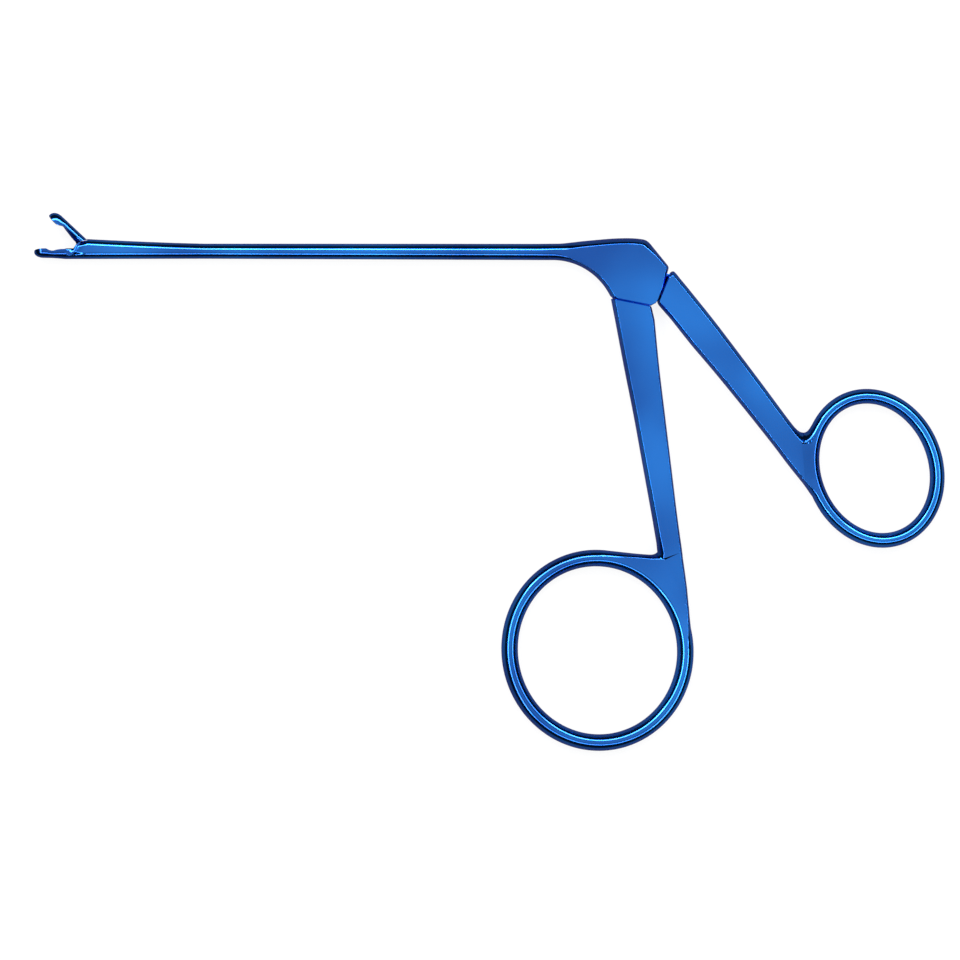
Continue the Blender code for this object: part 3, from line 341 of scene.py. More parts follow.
class Station:
    """A section between two outline points, flat on both faces and rounded at both edges.

    Each side has its own half thickness and its own band, the width that the rounded edge takes.
    A crease is the angle at which a rounded edge leaves the flat face. An inward direction turns
    a side's band away from the line between the two points.
    """

    def __init__(self, first, second, halves, bands, creases=(0.0, 0.0), inward=(None, None)):
        self.first = Vector(first)
        self.second = Vector(second)
        self.halves = halves
        self.bands = bands
        self.creases = creases
        self.inward = inward

    def edge(self, side, band, room):
        """The rounded edge on one side, from the top face to the bottom face."""
        corner, other = (self.first, self.second) if side == 0 else (self.second, self.first)
        outward = (corner - other).normalized()
        if self.inward[side]:
            outward = -Vector(self.inward[side]).normalized()
        crease = self.creases[side]
        half = self.halves[side]
        soft = min(CREASE_RADIUS * crease / EDGE_CREASE, band / 5, room / 3)
        share = math.sin(crease)
        start = math.asin(share + soft / band * (1 - share)) if soft > 0 else crease
        profile = [(-2.5 * soft, half)]
        drop = half * (1 - math.cos(start) / math.cos(crease))
        for step in range(3):
            t = step / 3
            profile.append((-soft * (1 - t) ** 2 + soft * t * t, half - drop * t * t))
        count = EDGE_STEPS // 2
        for step in range(count + 1):
            angle = start + (math.pi / 2 - start) * step / count
            out = band * (math.sin(angle) - share) / (1 - share)
            profile.append((out, half * math.cos(angle) / math.cos(crease)))
        profile += [(out, -up) for out, up in profile[-2::-1]]
        points = []
        for out, up in profile:
            place = corner - outward * (band - out)
            points.append(Vector((place.x, place.y, MIDDLE + up)))
        return points

    def outline(self, slants):
        """The closed section, where the slants widen the bands of a section cut at an angle."""
        length = (self.first - self.second).length
        slants = [1.0 if turned else slant for turned, slant in zip(self.inward, slants)]
        bands = [band / slant for band, slant in zip(self.bands, slants)]
        excess = max(1.0, sum(bands) / length)
        bands = [band / excess for band in bands]
        room = max(length - sum(bands), 0.0) / 2
        return self.edge(0, bands[0], room) + self.edge(1, bands[1], room)[::-1]


def slants_along(stations):
    """How squarely each station crosses its two outlines: 1 is square."""
    pairs = []
    for index, station in enumerate(stations):
        before = stations[max(index - 1, 0)]
        after = stations[min(index + 1, len(stations) - 1)]
        across = (station.second - station.first).normalized()
        slants = []
        for start, stop in ((before.first, after.first), (before.second, after.second)):
            run = stop - start
            square = abs(across.cross(run.normalized())) if run.length > MERGE_DISTANCE else 1.0
            slants.append(max(square, 0.6))
        pairs.append(slants)
    pairs[0] = pairs[1]
    pairs[-1] = pairs[-2]
    return pairs


def loft(name, stations, closed=False):
    """A solid skinned over the stations, with flat ends or as a closed loop."""
    bm = bmesh.new()
    slants = [(1.0, 1.0)] * len(stations) if closed else slants_along(stations)
    rows = []
    for station, slant in zip(stations, slants):
        rows.append([bm.verts.new(point) for point in station.outline(slant)])
    pairs = list(zip(rows, rows[1:]))
    if closed:
        pairs.append((rows[-1], rows[0]))
    for row, other in pairs:
        for index in range(len(row)):
            following = (index + 1) % len(row)
            bm.faces.new((row[index], row[following], other[following], other[index]))
    if not closed:
        bm.faces.new(rows[0])
        bm.faces.new(rows[-1][::-1])
    return mesh_from(bm, name)


def finger_ring(name, center, hole, width, tilt):
    outer = (hole[0] + width, hole[1] + width)
    stations = []
    for step in range(RING_STEPS):
        angle = 2 * math.pi * step / RING_STEPS
        rim = ellipse_point(center, outer, tilt, angle)
        inside = ellipse_point(center, hole, tilt, angle)
        stations.append(Station(rim, inside, (RING_HALF, RING_HALF), (width / 2, width / 2)))
    return loft(name, stations, closed=True)


def ring_middle(center, hole, width, tilt, degrees):
    """A point on the middle line of a finger ring."""
    middle = (hole[0] + width / 2, hole[1] + width / 2)
    return ellipse_point(center, middle, tilt, math.radians(degrees))


# Head


# Rows from the shaft to the seam: x and y on the head's top and back in millimetres, the angle in
# degrees of the throat's point that it pairs with, and the bands on the top and in the throat
HEAD_ROWS = [
    (-12.6, 1.19, 90.0, 1.15, 1.15),
    (-11.4, 1.21, 83.5, 1.02, 0.92),
    (-10.0, 1.35, 77.0, 0.93, 0.66),
    (-8.3, 1.55, 70.5, 0.88, 0.46),
    (-6.0, 1.77, 62.5, 0.86, 0.40),
    (-3.5, 1.97, 55.0, 0.86, 0.40),
    (-1.2, 2.02, 48.5, 0.86, 0.40),
    (0.40, 1.91, 44.0, 0.88, 0.40),
    (1.20, 1.73, 41.5, 0.94, 0.40),
    (1.75, 1.34, 39.5, 1.00, 0.40),
    (2.35, 0.62, 37.8, 0.80, 0.40),
    (3.20, -0.42, 35.8, 0.58, 0.40),
    (4.18, -1.62, 33.5, 0.50, 0.40),
    (4.54, -2.12, 32.6, 0.48, 0.40),
    (4.58, -2.50, 32.0, 0.47, 0.40),
    (4.36, -3.30, 31.2, 0.42, 0.40),
    (3.93, -4.85, 29.6, 0.30, 0.40),
    (3.42, -6.10, 28.4, 0.20, 0.40),
    (2.93, -7.15, 27.4, 0.12, 0.40),
    (2.62, -7.60, 26.7, 0.12, 0.40),
]
HEAD_CREASE_SPAN = (-12.6 * MM, -7.0 * MM)


def ease(start, stop, position):
    """Rises smoothly from 0 at the start to 1 at the stop."""
    share = min(max((position - start) / (stop - start), 0.0), 1.0)
    return share * share * (3 - 2 * share)


def head_half(position):
    """Half the thickness of the head, which thins towards the shaft."""
    growth = HALF_THICKNESS - SHAFT_ROOT_RADIUS
    return SHAFT_ROOT_RADIUS + growth * ease(*HEAD_CREASE_SPAN, position)


def bevelled_end(station, inset, shift):
    """A smaller copy of a station, moved by the shift, which bevels the end of a loft."""
    inward = (station.second - station.first).normalized() * inset
    return Station(
        station.first + inward + shift,
        station.second - inward + shift,
        [half - inset for half in station.halves],
        station.bands,
        station.creases,
    )


def seam_down():
    """The direction square to the seam, from the head to the front handle."""
    across = (SEAM[1] - SEAM[0]).normalized()
    return Vector((-across.y, across.x))


def head_stations():
    stations = []
    for row in smooth_curve([Vector(row) for row in HEAD_ROWS], CURVE_STEPS):
        top = Vector(row[:2]) * MM
        angle = math.radians(row[2])
        throat = THROAT_CENTER + THROAT_RADIUS * Vector((math.cos(angle), math.sin(angle)))
        halves = (head_half(top.x), head_half(throat.x))
        crease = EDGE_CREASE * ease(*HEAD_CREASE_SPAN, top.x)
        stations.append(Station(top, throat, halves, (row[3] * MM, row[4] * MM), (crease, crease)))
    lift = seam_down() * -(SEAM_GAP / 2 + SEAM_BEVEL)
    halves = (HALF_THICKNESS, HALF_THICKNESS)
    bands = (HEAD_ROWS[-1][3] * MM, THROAT_BAND)
    last = Station(SEAM[0] + lift, SEAM[1] + lift, halves, bands, (EDGE_CREASE, EDGE_CREASE))
    stations.append(last)
    stations.append(bevelled_end(last, SEAM_BEVEL, seam_down() * SEAM_BEVEL))
    return stations


def head_slot():
    """Outline of the head's slot, which the rod's block and both handles' tongues share."""
    block_left = NOSE.x - ROD_BLOCK_HALF_LENGTH - 1.2 * MM
    block_right = NOSE.x + ROD_BLOCK_HALF_LENGTH + ROD_TRAVEL + 0.5 * MM
    top = ROD_BLOCK_TOP + 0.10 * MM
    below = SEAM[0].y - 1.5 * MM
    back = SEAM[0].x + 5.0 * MM
    ceiling = PIVOT.y + PIVOT_BOSS_RADIUS + FRONT_TONGUE_CLEARANCE
    return [
        Vector((block_left, top)),
        Vector((FRONT_TONGUE_LEFT - SIDE_FIT, PIVOT.y + 1.3 * MM)),
        Vector((FRONT_TONGUE_LEFT - SIDE_FIT, below)),
        Vector((back, below)),
        Vector((back, ceiling)),
        Vector((block_right, ceiling)),
        Vector((block_right, top)),
    ]


# Shaft and lower jaw


def round_station(x, top, bottom, half):
    """A section of the shaft: round, or two half rounds with straight sides between them."""
    radius = min(half, (top - bottom) / 2)
    return Station((x, top), (x, bottom), (half, half), (radius, radius))


def shaft_stations():
    """The round shaft, deeper towards the jaws on its upper side."""
    stations = []
    bottom = -SHAFT_TIP_RADIUS - SHAFT_FOOT_DROP
    for share in (-0.12, 0.04, 0.17, 0.34, 0.54, 0.76, 1.0):
        flare = (1 - max(share, 0.0)) ** SHAFT_FLARE_POWER
        top = SHAFT_TIP_RADIUS + (SHAFT_FLARE_TOP - SHAFT_TIP_RADIUS) * flare
        foot = bottom + SHAFT_FOOT_DROP * max(share, 0.0)
        x = HINGE.x + SHAFT_FLARE_LENGTH * share
        stations.append(round_station(x, top, foot, SHAFT_TIP_RADIUS))
    x = HEAD_ROWS[0][0] * MM - 2.2 * MM
    top = SHAFT_ROOT_RADIUS - 0.08 * MM
    stations.append(round_station(x, top, -SHAFT_ROOT_RADIUS, SHAFT_ROOT_RADIUS))
    return stations


def jaw_station(x, rim, back, half_width, rim_band=0.0, lean=0.0):
    """A section of a jaw: flat at the rim, or beveled where it has a rim band, and round outside.

    The lean carries the outer side further along the jaw than the rim.
    """
    band = abs(back - rim) - max(rim_band, JAW_EDGE)
    crease = math.radians(50.0) if rim_band else 0.0
    return Station(
        (x, rim), (x + lean, back), (half_width, half_width), (rim_band, band), (crease, 0.0)
    )


def cup_stations(tip, rim, tip_height, outward):
    """The rounded tip of a jaw, from near its end to the widest place of the cup."""
    stations = []
    back = rim + outward * CUP_DEPTH
    for degrees in CUP_ANGLES:
        angle = math.radians(degrees)
        x = tip + CUP_LENGTH * (1 - math.cos(angle))
        share = math.sin(angle)
        top = tip_height + (rim - tip_height) * share**0.6
        bottom = tip_height + (back - tip_height) * share**0.9
        stations.append(jaw_station(x, top, bottom, CUP_HALF_WIDTH * share))
    return stations


def cup_hollow(name, tip, rim):
    """The round-bottomed hollow of a cup."""
    bm = bmesh.new()
    halves = (CUP_LENGTH - CUP_WALL, CUP_DEPTH - 2 * CUP_WALL, CUP_HALF_WIDTH - CUP_WALL)
    center = (tip + CUP_LENGTH, rim, MIDDLE)
    place = Matrix.Translation(center) @ Matrix.Diagonal((*halves, 1.0))
    bmesh.ops.create_uvsphere(bm, u_segments=64, v_segments=40, radius=1.0, matrix=place)
    return mesh_from(bm, name)


def neck_stations(start, stop, rows):
    """Sections between the cup and the heel, each at its share of the way."""
    stations = []
    for share, *sizes, rim_band in smooth_curve([Vector(row) for row in rows], CURVE_STEPS):
        sizes = [value * MM for value in sizes]
        x = start + (stop - start) * share
        stations.append(jaw_station(x, *sizes, max(rim_band, 0.0) * MM))
    return stations


def lower_jaw_stations():
    rim = JAW_PARTING_HEIGHT
    tip = HINGE.x - LOWER_JAW_LENGTH
    heel = HINGE.x - LOWER_HEEL_DISTANCE
    foot = (SHAFT_TIP_RADIUS + SHAFT_FOOT_DROP) / MM
    high = rim / MM
    low = (rim - LOWER_NECK_DIP) / MM
    bottom = (rim - CUP_DEPTH) / MM
    width = CUP_HALF_WIDTH / MM
    rows = [
        (0.07, high, bottom, width, 0.0),
        (0.24, high - 0.26, bottom - 0.01, width * 0.97, 0.0),
        (0.42, low, bottom - 0.03, width * 0.92, 0.0),
        (0.58, high - 0.18, bottom - 0.06, width * 0.93, 0.0),
        (0.76, high - 0.10, -foot + 0.06, width * 0.97, 0.0),
        (1.00, high - 0.08, -foot, SHAFT_TIP_RADIUS / MM - 0.04, 0.0),
    ]
    cup = cup_stations(tip, rim, rim - LOWER_TIP_DROP, -1)
    return cup + neck_stations(tip + CUP_LENGTH, heel, rows)


def heel_point(reach, along):
    """A point on the cheeks' slanted line: its reach from the hinge and its way up the line."""
    slant = Vector((math.cos(HEEL_SLANT), math.sin(HEEL_SLANT)))
    return HINGE + Vector((-slant.y, slant.x)) * reach + slant * along


def heel_corner():
    """How far the upper jaw's back corner lies from the hinge, along and across."""
    x = (math.cos(HEEL_SLANT) * UPPER_BACK - HEEL_REACH) / math.sin(HEEL_SLANT)
    return Vector((x, UPPER_BACK))


def cheek_cut():
    """Outline of what is cut away round the upper jaw, clear of its heel from shut to open."""
    reach = HEEL_REACH - CHEEK_GAP
    socket = heel_corner().length + CHEEK_GAP
    rim = JAW_PARTING_HEIGHT + 0.001 * MM
    far = HINGE.x - LOWER_JAW_LENGTH - CUP_LENGTH
    above = SHAFT_FLARE_TOP + CUP_DEPTH
    shut = HEEL_SLANT + math.pi / 2
    opened = shut - JAW_OPENING
    lip = math.asin((SHAFT_FLARE_TOP + 0.05 * MM - HINGE.y) / socket)
    hook = opened - math.acos(reach / socket)
    foot = heel_point(reach, 0.0)
    run = (foot.y - rim) / math.sin(HEEL_SLANT)
    return [
        Vector((HINGE.x + socket * math.cos(lip), above)),
        *arc(HINGE, socket, lip, hook, 12),
        *arc(HINGE, reach, opened, shut, 24),
        heel_point(reach, -run),
        Vector((far, rim)),
        Vector((far, above)),
    ]


def cheek_relief():
    """Outline of the shallow step along each cheek's edge, which hooks back under the jaws."""
    top = heel_point(CHEEK_RELIEF_REACH, 0.40 * MM)
    foot = heel_point(CHEEK_RELIEF_REACH, -1.25 * MM)
    radius = 0.55 * MM
    center = foot + Vector((-radius * 0.95, radius * 0.3))
    hook = arc(center, radius, math.radians(-20), math.radians(-180), 28)
    return [
        top + Vector((0.0, 2.0)) * MM,
        top,
        foot,
        *hook,
        Vector((hook[-1].x, HINGE.y + 2.0 * MM)),
    ]


def make_shaft_head():
    stations = lower_jaw_stations() + shaft_stations() + head_stations()
    item = solid("shaft_head", loft("shaft_head", stations))
    low = -HEAD_THICKNESS
    high = 2 * HEAD_THICKNESS
    cut(item, "cheeks", prism("cheeks", cheek_cut(), low, high))
    relief = cheek_relief()
    cut(item, "relief_above", prism("relief_above", relief, MIDDLE + CHEEK_RELIEF_HALF, high))
    cut(item, "relief_below", prism("relief_below", relief, low, MIDDLE - CHEEK_RELIEF_HALF))
    cut(item, "cup", cup_hollow("cup", HINGE.x - LOWER_JAW_LENGTH, JAW_PARTING_HEIGHT))

    slot_start = HINGE.x - LOWER_HEEL_DISTANCE + 0.25 * MM
    slot_end = HINGE.x + TIP_SLOT_BACK
    mouth = HINGE.x + TAIL_NECK_RADIUS - 0.06 * MM
    above = SHAFT_FLARE_TOP + 1.0 * MM
    tip_slot = [
        Vector((slot_start, -TIP_SLOT_FLOOR)),
        Vector((slot_end, -TIP_SLOT_FLOOR)),
        Vector((slot_end, TIP_SLOT_ROOF)),
        Vector((mouth, TIP_SLOT_ROOF)),
        Vector((mouth, above)),
        Vector((slot_start, above)),
    ]
    faces = (MIDDLE - TIP_SLOT_HALF, MIDDLE + TIP_SLOT_HALF)
    cut(item, "tip_slot", prism("tip_slot", tip_slot, *faces))
    bore_end = NOSE.x - ROD_BLOCK_HALF_LENGTH
    cut(item, "bore", bar("bore", slot_end - 0.3 * MM, bore_end, ROD_HEIGHT, SHAFT_BORE_RADIUS))
    cut(item, "slot", prism("slot", head_slot(), MIDDLE - SLOT_HALF, MIDDLE + SLOT_HALF))

    hole = JAW_PIN_RADIUS + FIXED_FIT
    top = MIDDLE + JAW_PIN_TOP + FIXED_FIT
    cut(item, "jaw_pin_hole", pin("jaw_pin_hole", HINGE, hole, low, top, SMALL_PIN_SIDES))
    for index, center in enumerate(DOWELS):
        name = f"dowel_hole_{index}"
        hole = DOWEL_RADIUS + FIXED_FIT
        top = HEAD_THICKNESS - BLIND_SKIN
        cut(item, name, pin(name, center, hole, low, top, SMALL_PIN_SIDES))
    seat = PIVOT_HEAD_RADIUS + FIXED_FIT
    cut(item, "screw_seat", pin("screw_seat", PIVOT, seat, low, PIVOT_HEAD_HEIGHT + FIXED_FIT))
    hole = PIVOT_RADIUS + FIXED_FIT
    top = HEAD_THICKNESS - BLIND_SKIN
    cut(item, "screw_hole", pin("screw_hole", PIVOT, hole, 0.0, top))
    return item


# Upper jaw and its pins


def turn_jaw(item):
    """Carries a piece made for the shut jaw to the open one."""
    item.location = (HINGE.x, HINGE.y, 0.0)
    item.rotation_euler = (0.0, 0.0, -JAW_OPENING)


def upper_jaw_stations():
    """Sections of the shut upper jaw, from its hinge."""
    tip = -UPPER_JAW_LENGTH
    corner = heel_corner()
    heel = -(HEEL_REACH - math.cos(HEEL_SLANT) * UPPER_RIM) / math.sin(HEEL_SLANT)
    low = UPPER_RIM / MM
    notch = (UPPER_RIM + UPPER_NECK_RISE) / MM
    cup_back = (UPPER_RIM + CUP_DEPTH) / MM
    back = UPPER_BACK / MM
    width = CUP_HALF_WIDTH / MM
    rows = [
        (0.07, low + 0.03, cup_back, width, 0.0),
        (0.17, low + 0.20, cup_back, width * 0.97, 0.0),
        (0.28, notch, cup_back, width * 0.92, 0.05),
        (0.42, notch - 0.10, back, width * 0.91, 0.22),
        (0.68, notch - 0.28, back, width * 0.96, 0.48),
        (0.90, low + 0.01, back, SHAFT_TIP_RADIUS / MM - 0.07, 0.62),
    ]
    cup = cup_stations(tip, UPPER_RIM, UPPER_RIM + UPPER_TIP_RISE, 1)
    end = jaw_station(
        heel, UPPER_RIM, UPPER_BACK, SHAFT_TIP_RADIUS - 0.04 * MM, 0.66 * MM, corner.x - heel
    )
    return [*cup, *neck_stations(tip + CUP_LENGTH, heel, rows), end]


def make_upper_jaw():
    item = solid("upper_jaw", loft("upper_jaw", upper_jaw_stations()))
    turn_jaw(item)
    origin = Vector((0.0, 0.0))
    crank = CRANK_RADIUS * Vector((math.sin(CRANK_SWING), -math.cos(CRANK_SWING)))
    body = HEEL_REACH + TAIL_NECK_RADIUS
    neck_end = Vector((-math.cos(CRANK_SWING), math.sin(CRANK_SWING))) * body
    low = MIDDLE - TIP_SLOT_CLEARANCE / 2 - TAIL_THICKNESS
    high = MIDDLE - TIP_SLOT_CLEARANCE / 2
    neck = capsule(origin, neck_end, TAIL_BOSS_RADIUS, TAIL_NECK_RADIUS)
    eye = capsule(origin, crank, TAIL_BOSS_RADIUS - 0.005 * MM, CRANK_EYE_RADIUS)
    through = (low - 0.5 * MM, high + 0.5 * MM, SMALL_PIN_SIDES)
    tools = [
        join(item, "tail", prism("tail", neck, low, high)),
        join(item, "crank", prism("crank", eye, low, high)),
        cut(item, "cup", cup_hollow("upper_cup", -UPPER_JAW_LENGTH, UPPER_RIM)),
        cut(item, "hole", pin("hole", origin, JAW_PIN_RADIUS + RUNNING_FIT, *through)),
        cut(item, "eye", pin("eye", crank, LINK_PIN_RADIUS + FIXED_FIT, *through)),
    ]
    for tool in tools:
        turn_jaw(tool)
    return item


# Front handle


LARGE_RING = (LARGE_RING_CENTER, LARGE_RING_HOLE, LARGE_RING_WIDTH, LARGE_RING_TILT)

# Points on the front handle's outer and inner edges, in pairs from the seam to the web's corner,
# with the inner band in millimetres
FRONT_ROWS = [
    (2.52, -10.1, -3.32, -10.1, 0.38),
    (3.22, -17.2, -1.97, -17.2, 0.40),
    (4.08, -24.3, -0.55, -24.3, 0.42),
    (4.95, -31.4, 0.74, -31.4, 0.46),
    (5.78, -38.2, 1.98, -38.2, 0.52),
    (6.28, -41.9, 2.62, -41.9, 0.58),
    (6.45, -43.1, 2.82, -43.1, 0.66),
]
# Round the web's corner: the two edges' points, and the inner band's width and direction
FRONT_BEND = [
    ((6.56, -43.85), (2.88, -43.78), 0.82, (0.98, -0.22)),
    ((6.60, -44.20), (2.91, -44.08), 1.00, (0.88, -0.48)),
]
FRONT_BEND_END = (6.64, -44.5)

# The corner itself, and the corner of the flat face
FRONT_MITRE = ((2.95, -44.32), (3.72, -45.28))

# The crease that ends the flat face: x and y of the outer edge, share along the crease
FRONT_CREASE = in_mm([(3.72, -45.28), (7.30, -52.75)])
FRONT_WEDGE = [
    (6.73, -45.3, 0.0),
    (7.06, -47.6, 0.33),
    (7.33, -49.6, 0.60),
    (7.50, -51.4, 0.83),
    (7.60, -52.6, 0.97),
]

# The web's edge: x and y, the angle on the ring in degrees, and the band in millimetres
FRONT_WEB_ROWS = [
    (-5.38, -44.04, 346.0, 1.06),
    (-4.2, -44.14, 341.0, 0.96),
    (-3.0, -44.27, 336.5, 0.84),
    (-1.7, -44.41, 332.0, 0.72),
    (-0.4, -44.55, 327.5, 0.64),
    (0.9, -44.66, 323.0, 0.62),
    (1.80, -44.72, 319.5, 0.65),
    (2.34, -44.68, 316.5, 0.72),
    (2.70, -44.54, 313.5, 0.93),
]
FRONT_WEB_INNER = [
    (3.95, -45.60, 306.0),
    (4.60, -46.95, 303.0),
    (5.50, -48.80, 298.0),
    (6.50, -50.85, 291.0),
]
FRONT_WEB_END = [
    (7.62, -52.4, 284.5, 0.38),
    (7.72, -53.8, 279.0, 0.42),
    (7.95, -55.8, 271.0, 0.62),
    (8.18, -57.6, 263.5, 0.90),
]


def ring_inside(ring, degrees, inset):
    """A point on a finger ring's outer edge, drawn in by the inset."""
    center, hole, width, tilt = ring
    reach = (hole[0] + width - inset, hole[1] + width - inset)
    return ellipse_point(center, reach, tilt, math.radians(degrees))


def mitre(pair):
    """Where two edges meet at an inner corner: its point, and the way and length to the flat."""
    place, flat = in_mm(pair)
    return place, (flat - place).normalized(), (flat - place).length


def front_shank():
    creases = (EDGE_CREASE, EDGE_CREASE)
    halves = (HALF_THICKNESS, HALF_THICKNESS)
    start = seam_down() * (SEAM_GAP / 2 + SEAM_BEVEL)
    first = Station(SEAM[0] + start, SEAM[1] + start, halves, (FRONT_BAND, FRONT_BAND), creases)
    stations = [bevelled_end(first, SEAM_BEVEL, seam_down() * -SEAM_BEVEL), first]
    for row in smooth_curve([Vector(row) for row in FRONT_ROWS], CURVE_STEPS):
        outer = Vector(row[:2]) * MM
        inner = Vector(row[2:4]) * MM
        stations.append(Station(outer, inner, halves, (FRONT_BAND, row[4] * MM), creases))
    for outer, inner, band, inward in FRONT_BEND:
        bands = (FRONT_BAND, band * MM)
        stations.append(Station(*in_mm([outer, inner]), halves, bands, creases, (None, inward)))
    place, inward, band = mitre(FRONT_MITRE)
    outer = Vector(FRONT_BEND_END) * MM
    stations.append(Station(outer, place, halves, (FRONT_BAND, band), creases, (None, inward)))
    corner, end = FRONT_CREASE
    for x, y, share in FRONT_WEDGE:
        inner = corner.lerp(end, share)
        bands = (FRONT_BAND, 0.0)
        stations.append(Station((x * MM, y * MM), inner, halves, bands, (EDGE_CREASE, 0.0)))
    return loft("front_handle", stations)


def web_station(point, ring, degrees, band, rise, crease=0.0, inward=None):
    """A section of a web: its edge at the point, its other side on the ring's crown."""
    half = RING_HALF - WEB_SINK
    edge_half = half + (HALF_THICKNESS - WEB_SINK / 2 - half) * rise
    crown = ring_middle(*ring, degrees)
    return Station(point, crown, (edge_half, half), (band, 0.0), (crease, 0.0), (inward, None))


def web_edge(rows, ring, rises):
    """The sections along a stretch of a web's edge, with the rise at its start and at its end."""
    rows = smooth_curve([Vector(row) for row in rows], CURVE_STEPS)
    points = [Vector(row[:2]) * MM for row in rows]
    stations = []
    for index, (row, point) in enumerate(zip(rows, points)):
        rise = rises[0] + (rises[1] - rises[0]) * index / (len(rows) - 1)
        run = points[min(index + 1, len(rows) - 1)] - points[max(index - 1, 0)]
        inward = Vector((-run.y, run.x)).normalized()
        if inward.dot(ring_middle(*ring, row[2]) - point) < 0:
            inward = -inward
        station = web_station(point, ring, row[2], row[3] * MM, rise, EDGE_CREASE * rise, inward)
        stations.append(station)
    return stations


def front_web():
    """The flat web between the crease and the ring, which slopes down to the ring's crown."""
    band = 1.14 * MM
    stations = []
    for degrees in (360.0, 356.5, 353.0, 349.5):
        point = ring_inside(LARGE_RING, degrees, WEB_INSET * (degrees - 346.0) / 14.0)
        stations.append(web_station(point, LARGE_RING, degrees, band, 0.0))
    stations += web_edge(FRONT_WEB_ROWS, LARGE_RING, (0.0, 0.96))
    place, inward, length = mitre(FRONT_MITRE)
    stations.append(web_station(place, LARGE_RING, 311.0, length, 1.0, EDGE_CREASE, inward))
    for x, y, degrees in FRONT_WEB_INNER:
        stations.append(web_station(Vector((x, y)) * MM, LARGE_RING, degrees, 0.0, 1.0))
    stations += web_edge(FRONT_WEB_END, LARGE_RING, (1.0, 0.2))
    for degrees in (258.5, 254.0):
        point = ring_inside(LARGE_RING, degrees, WEB_INSET * (263.0 - degrees) / 9.0)
        stations.append(web_station(point, LARGE_RING, degrees, band, 0.0))
    return loft("front_web", stations)


def front_tongue():
    right = FRONT_TONGUE_RIGHT
    socket = PIVOT_BOSS_RADIUS + FRONT_TONGUE_CLEARANCE
    shoulder = PIVOT.y + 1.15 * MM
    outline = [
        Vector((FRONT_TONGUE_LEFT, SEAM[1].y - 1.4 * MM)),
        Vector((right, SEAM[0].y - 1.0 * MM)),
        Vector((right, PIVOT.y - socket - 0.25 * MM)),
        *arc(PIVOT, socket, math.radians(-100), math.radians(-180), 8),
        Vector((-socket, shoulder)),
        Vector((FRONT_TONGUE_LEFT, shoulder)),
    ]
    half = TONGUE_THICKNESS / 2
    return prism("front_tongue", outline, MIDDLE - half, MIDDLE + half)


def make_front_handle():
    item = solid("front_handle", front_shank())
    join(item, "web", front_web())
    join(item, "ring", finger_ring("large_ring", *LARGE_RING))
    join(item, "tongue", front_tongue())
    for index, center in enumerate(DOWELS):
        name = f"hole_{index}"
        hole = DOWEL_RADIUS + FIXED_FIT
        cut(item, name, pin("front_" + name, center, hole, 0.0, HEAD_THICKNESS, SMALL_PIN_SIDES))
    return item


# Rear handle


SMALL_RING = (SMALL_RING_CENTER, SMALL_RING_HOLE, SMALL_RING_WIDTH, SMALL_RING_TILT)

# Points on the rear handle's outer and inner edges, in pairs from its end to the crease, with the
# two bands in millimetres
REAR_ROWS = [
    (4.72, -3.30, 3.02, -7.38, 0.30, 0.10),
    (4.94, -3.00, 3.06, -7.62, 0.46, 0.16),
    (5.30, -2.86, 3.22, -7.92, 0.66, 0.24),
    (5.66, -3.12, 3.52, -8.30, 0.68, 0.32),
    (6.40, -4.02, 4.20, -9.08, 0.68, 0.38),
    (7.81, -5.72, 5.17, -10.20, 0.68, 0.38),
    (11.35, -10.1, 8.05, -13.80, 0.68, 0.38),
    (15.0, -14.85, 11.60, -17.95, 0.68, 0.38),
    (18.6, -19.6, 15.30, -22.45, 0.68, 0.38),
    (21.9, -24.02, 19.60, -27.80, 0.68, 0.38),
    (23.1, -25.58, 21.90, -30.80, 0.70, 0.38),
]
REAR_BEND = [
    ((23.45, -25.98), (22.80, -31.96), 0.74, (-0.78, -0.63)),
    ((23.80, -26.32), (23.50, -32.82), 0.82, (-0.70, -0.71)),
    ((24.12, -26.54), (24.00, -33.44), 0.97, (-0.58, -0.81)),
    ((24.40, -26.65), (24.40, -33.93), 1.22, (-0.38, -0.92)),
]
REAR_MITRE = ((24.64, -26.68), (24.34, -28.16))

# The web's edge: x and y, the angle on the ring in degrees, and the band in millimetres
REAR_WEB_ROWS = [
    (26.62, -24.44, 211.0, 1.02),
    (26.05, -25.36, 215.0, 0.95),
    (25.66, -26.00, 218.0, 0.92),
    (25.34, -26.40, 221.0, 0.98),
    (25.02, -26.62, 224.0, 1.15),
    (24.80, -26.68, 226.5, 1.36),
]
REAR_WEB_INNER = [(24.20, -28.4, 233.0), (24.10, -31.0, 243.0), (24.28, -33.3, 253.0)]
REAR_WEB_END = [
    (24.62, -34.21, 259.0, 0.38),
    (24.96, -34.66, 261.5, 0.44),
    (25.60, -35.60, 268.0, 0.70),
]

# Where the web's edge follows the ring: its angle in degrees, its inset and its band
REAR_WEB_TAIL = [
    (272.0, -0.02, 0.84),
    (275.5, -0.02, 0.92),
    (285.0, -0.02, 1.00),
    (296.0, 0.02, 1.04),
    (308.0, 0.10, 1.04),
]


def square_bands(stations, begin, full):
    """Turns the outer bands square to the edge, more and more from one index to the other."""
    turned = []
    for index in range(begin, full):
        station, before, after = stations[index], stations[index - 1], stations[index + 1]
        section = (station.second - station.first).normalized()
        run = (after.first - before.first).normalized()
        square = Vector((-run.y, run.x))
        square = square if square.dot(section) > 0 else -square
        way = section.lerp(square, ease(begin, 0.9 * full, index)).normalized()
        turned.append((station, way, station.bands[0] / way.dot(square)))
    for station, way, band in turned:
        station.inward = (way, None)
        station.bands = (band, station.bands[1])


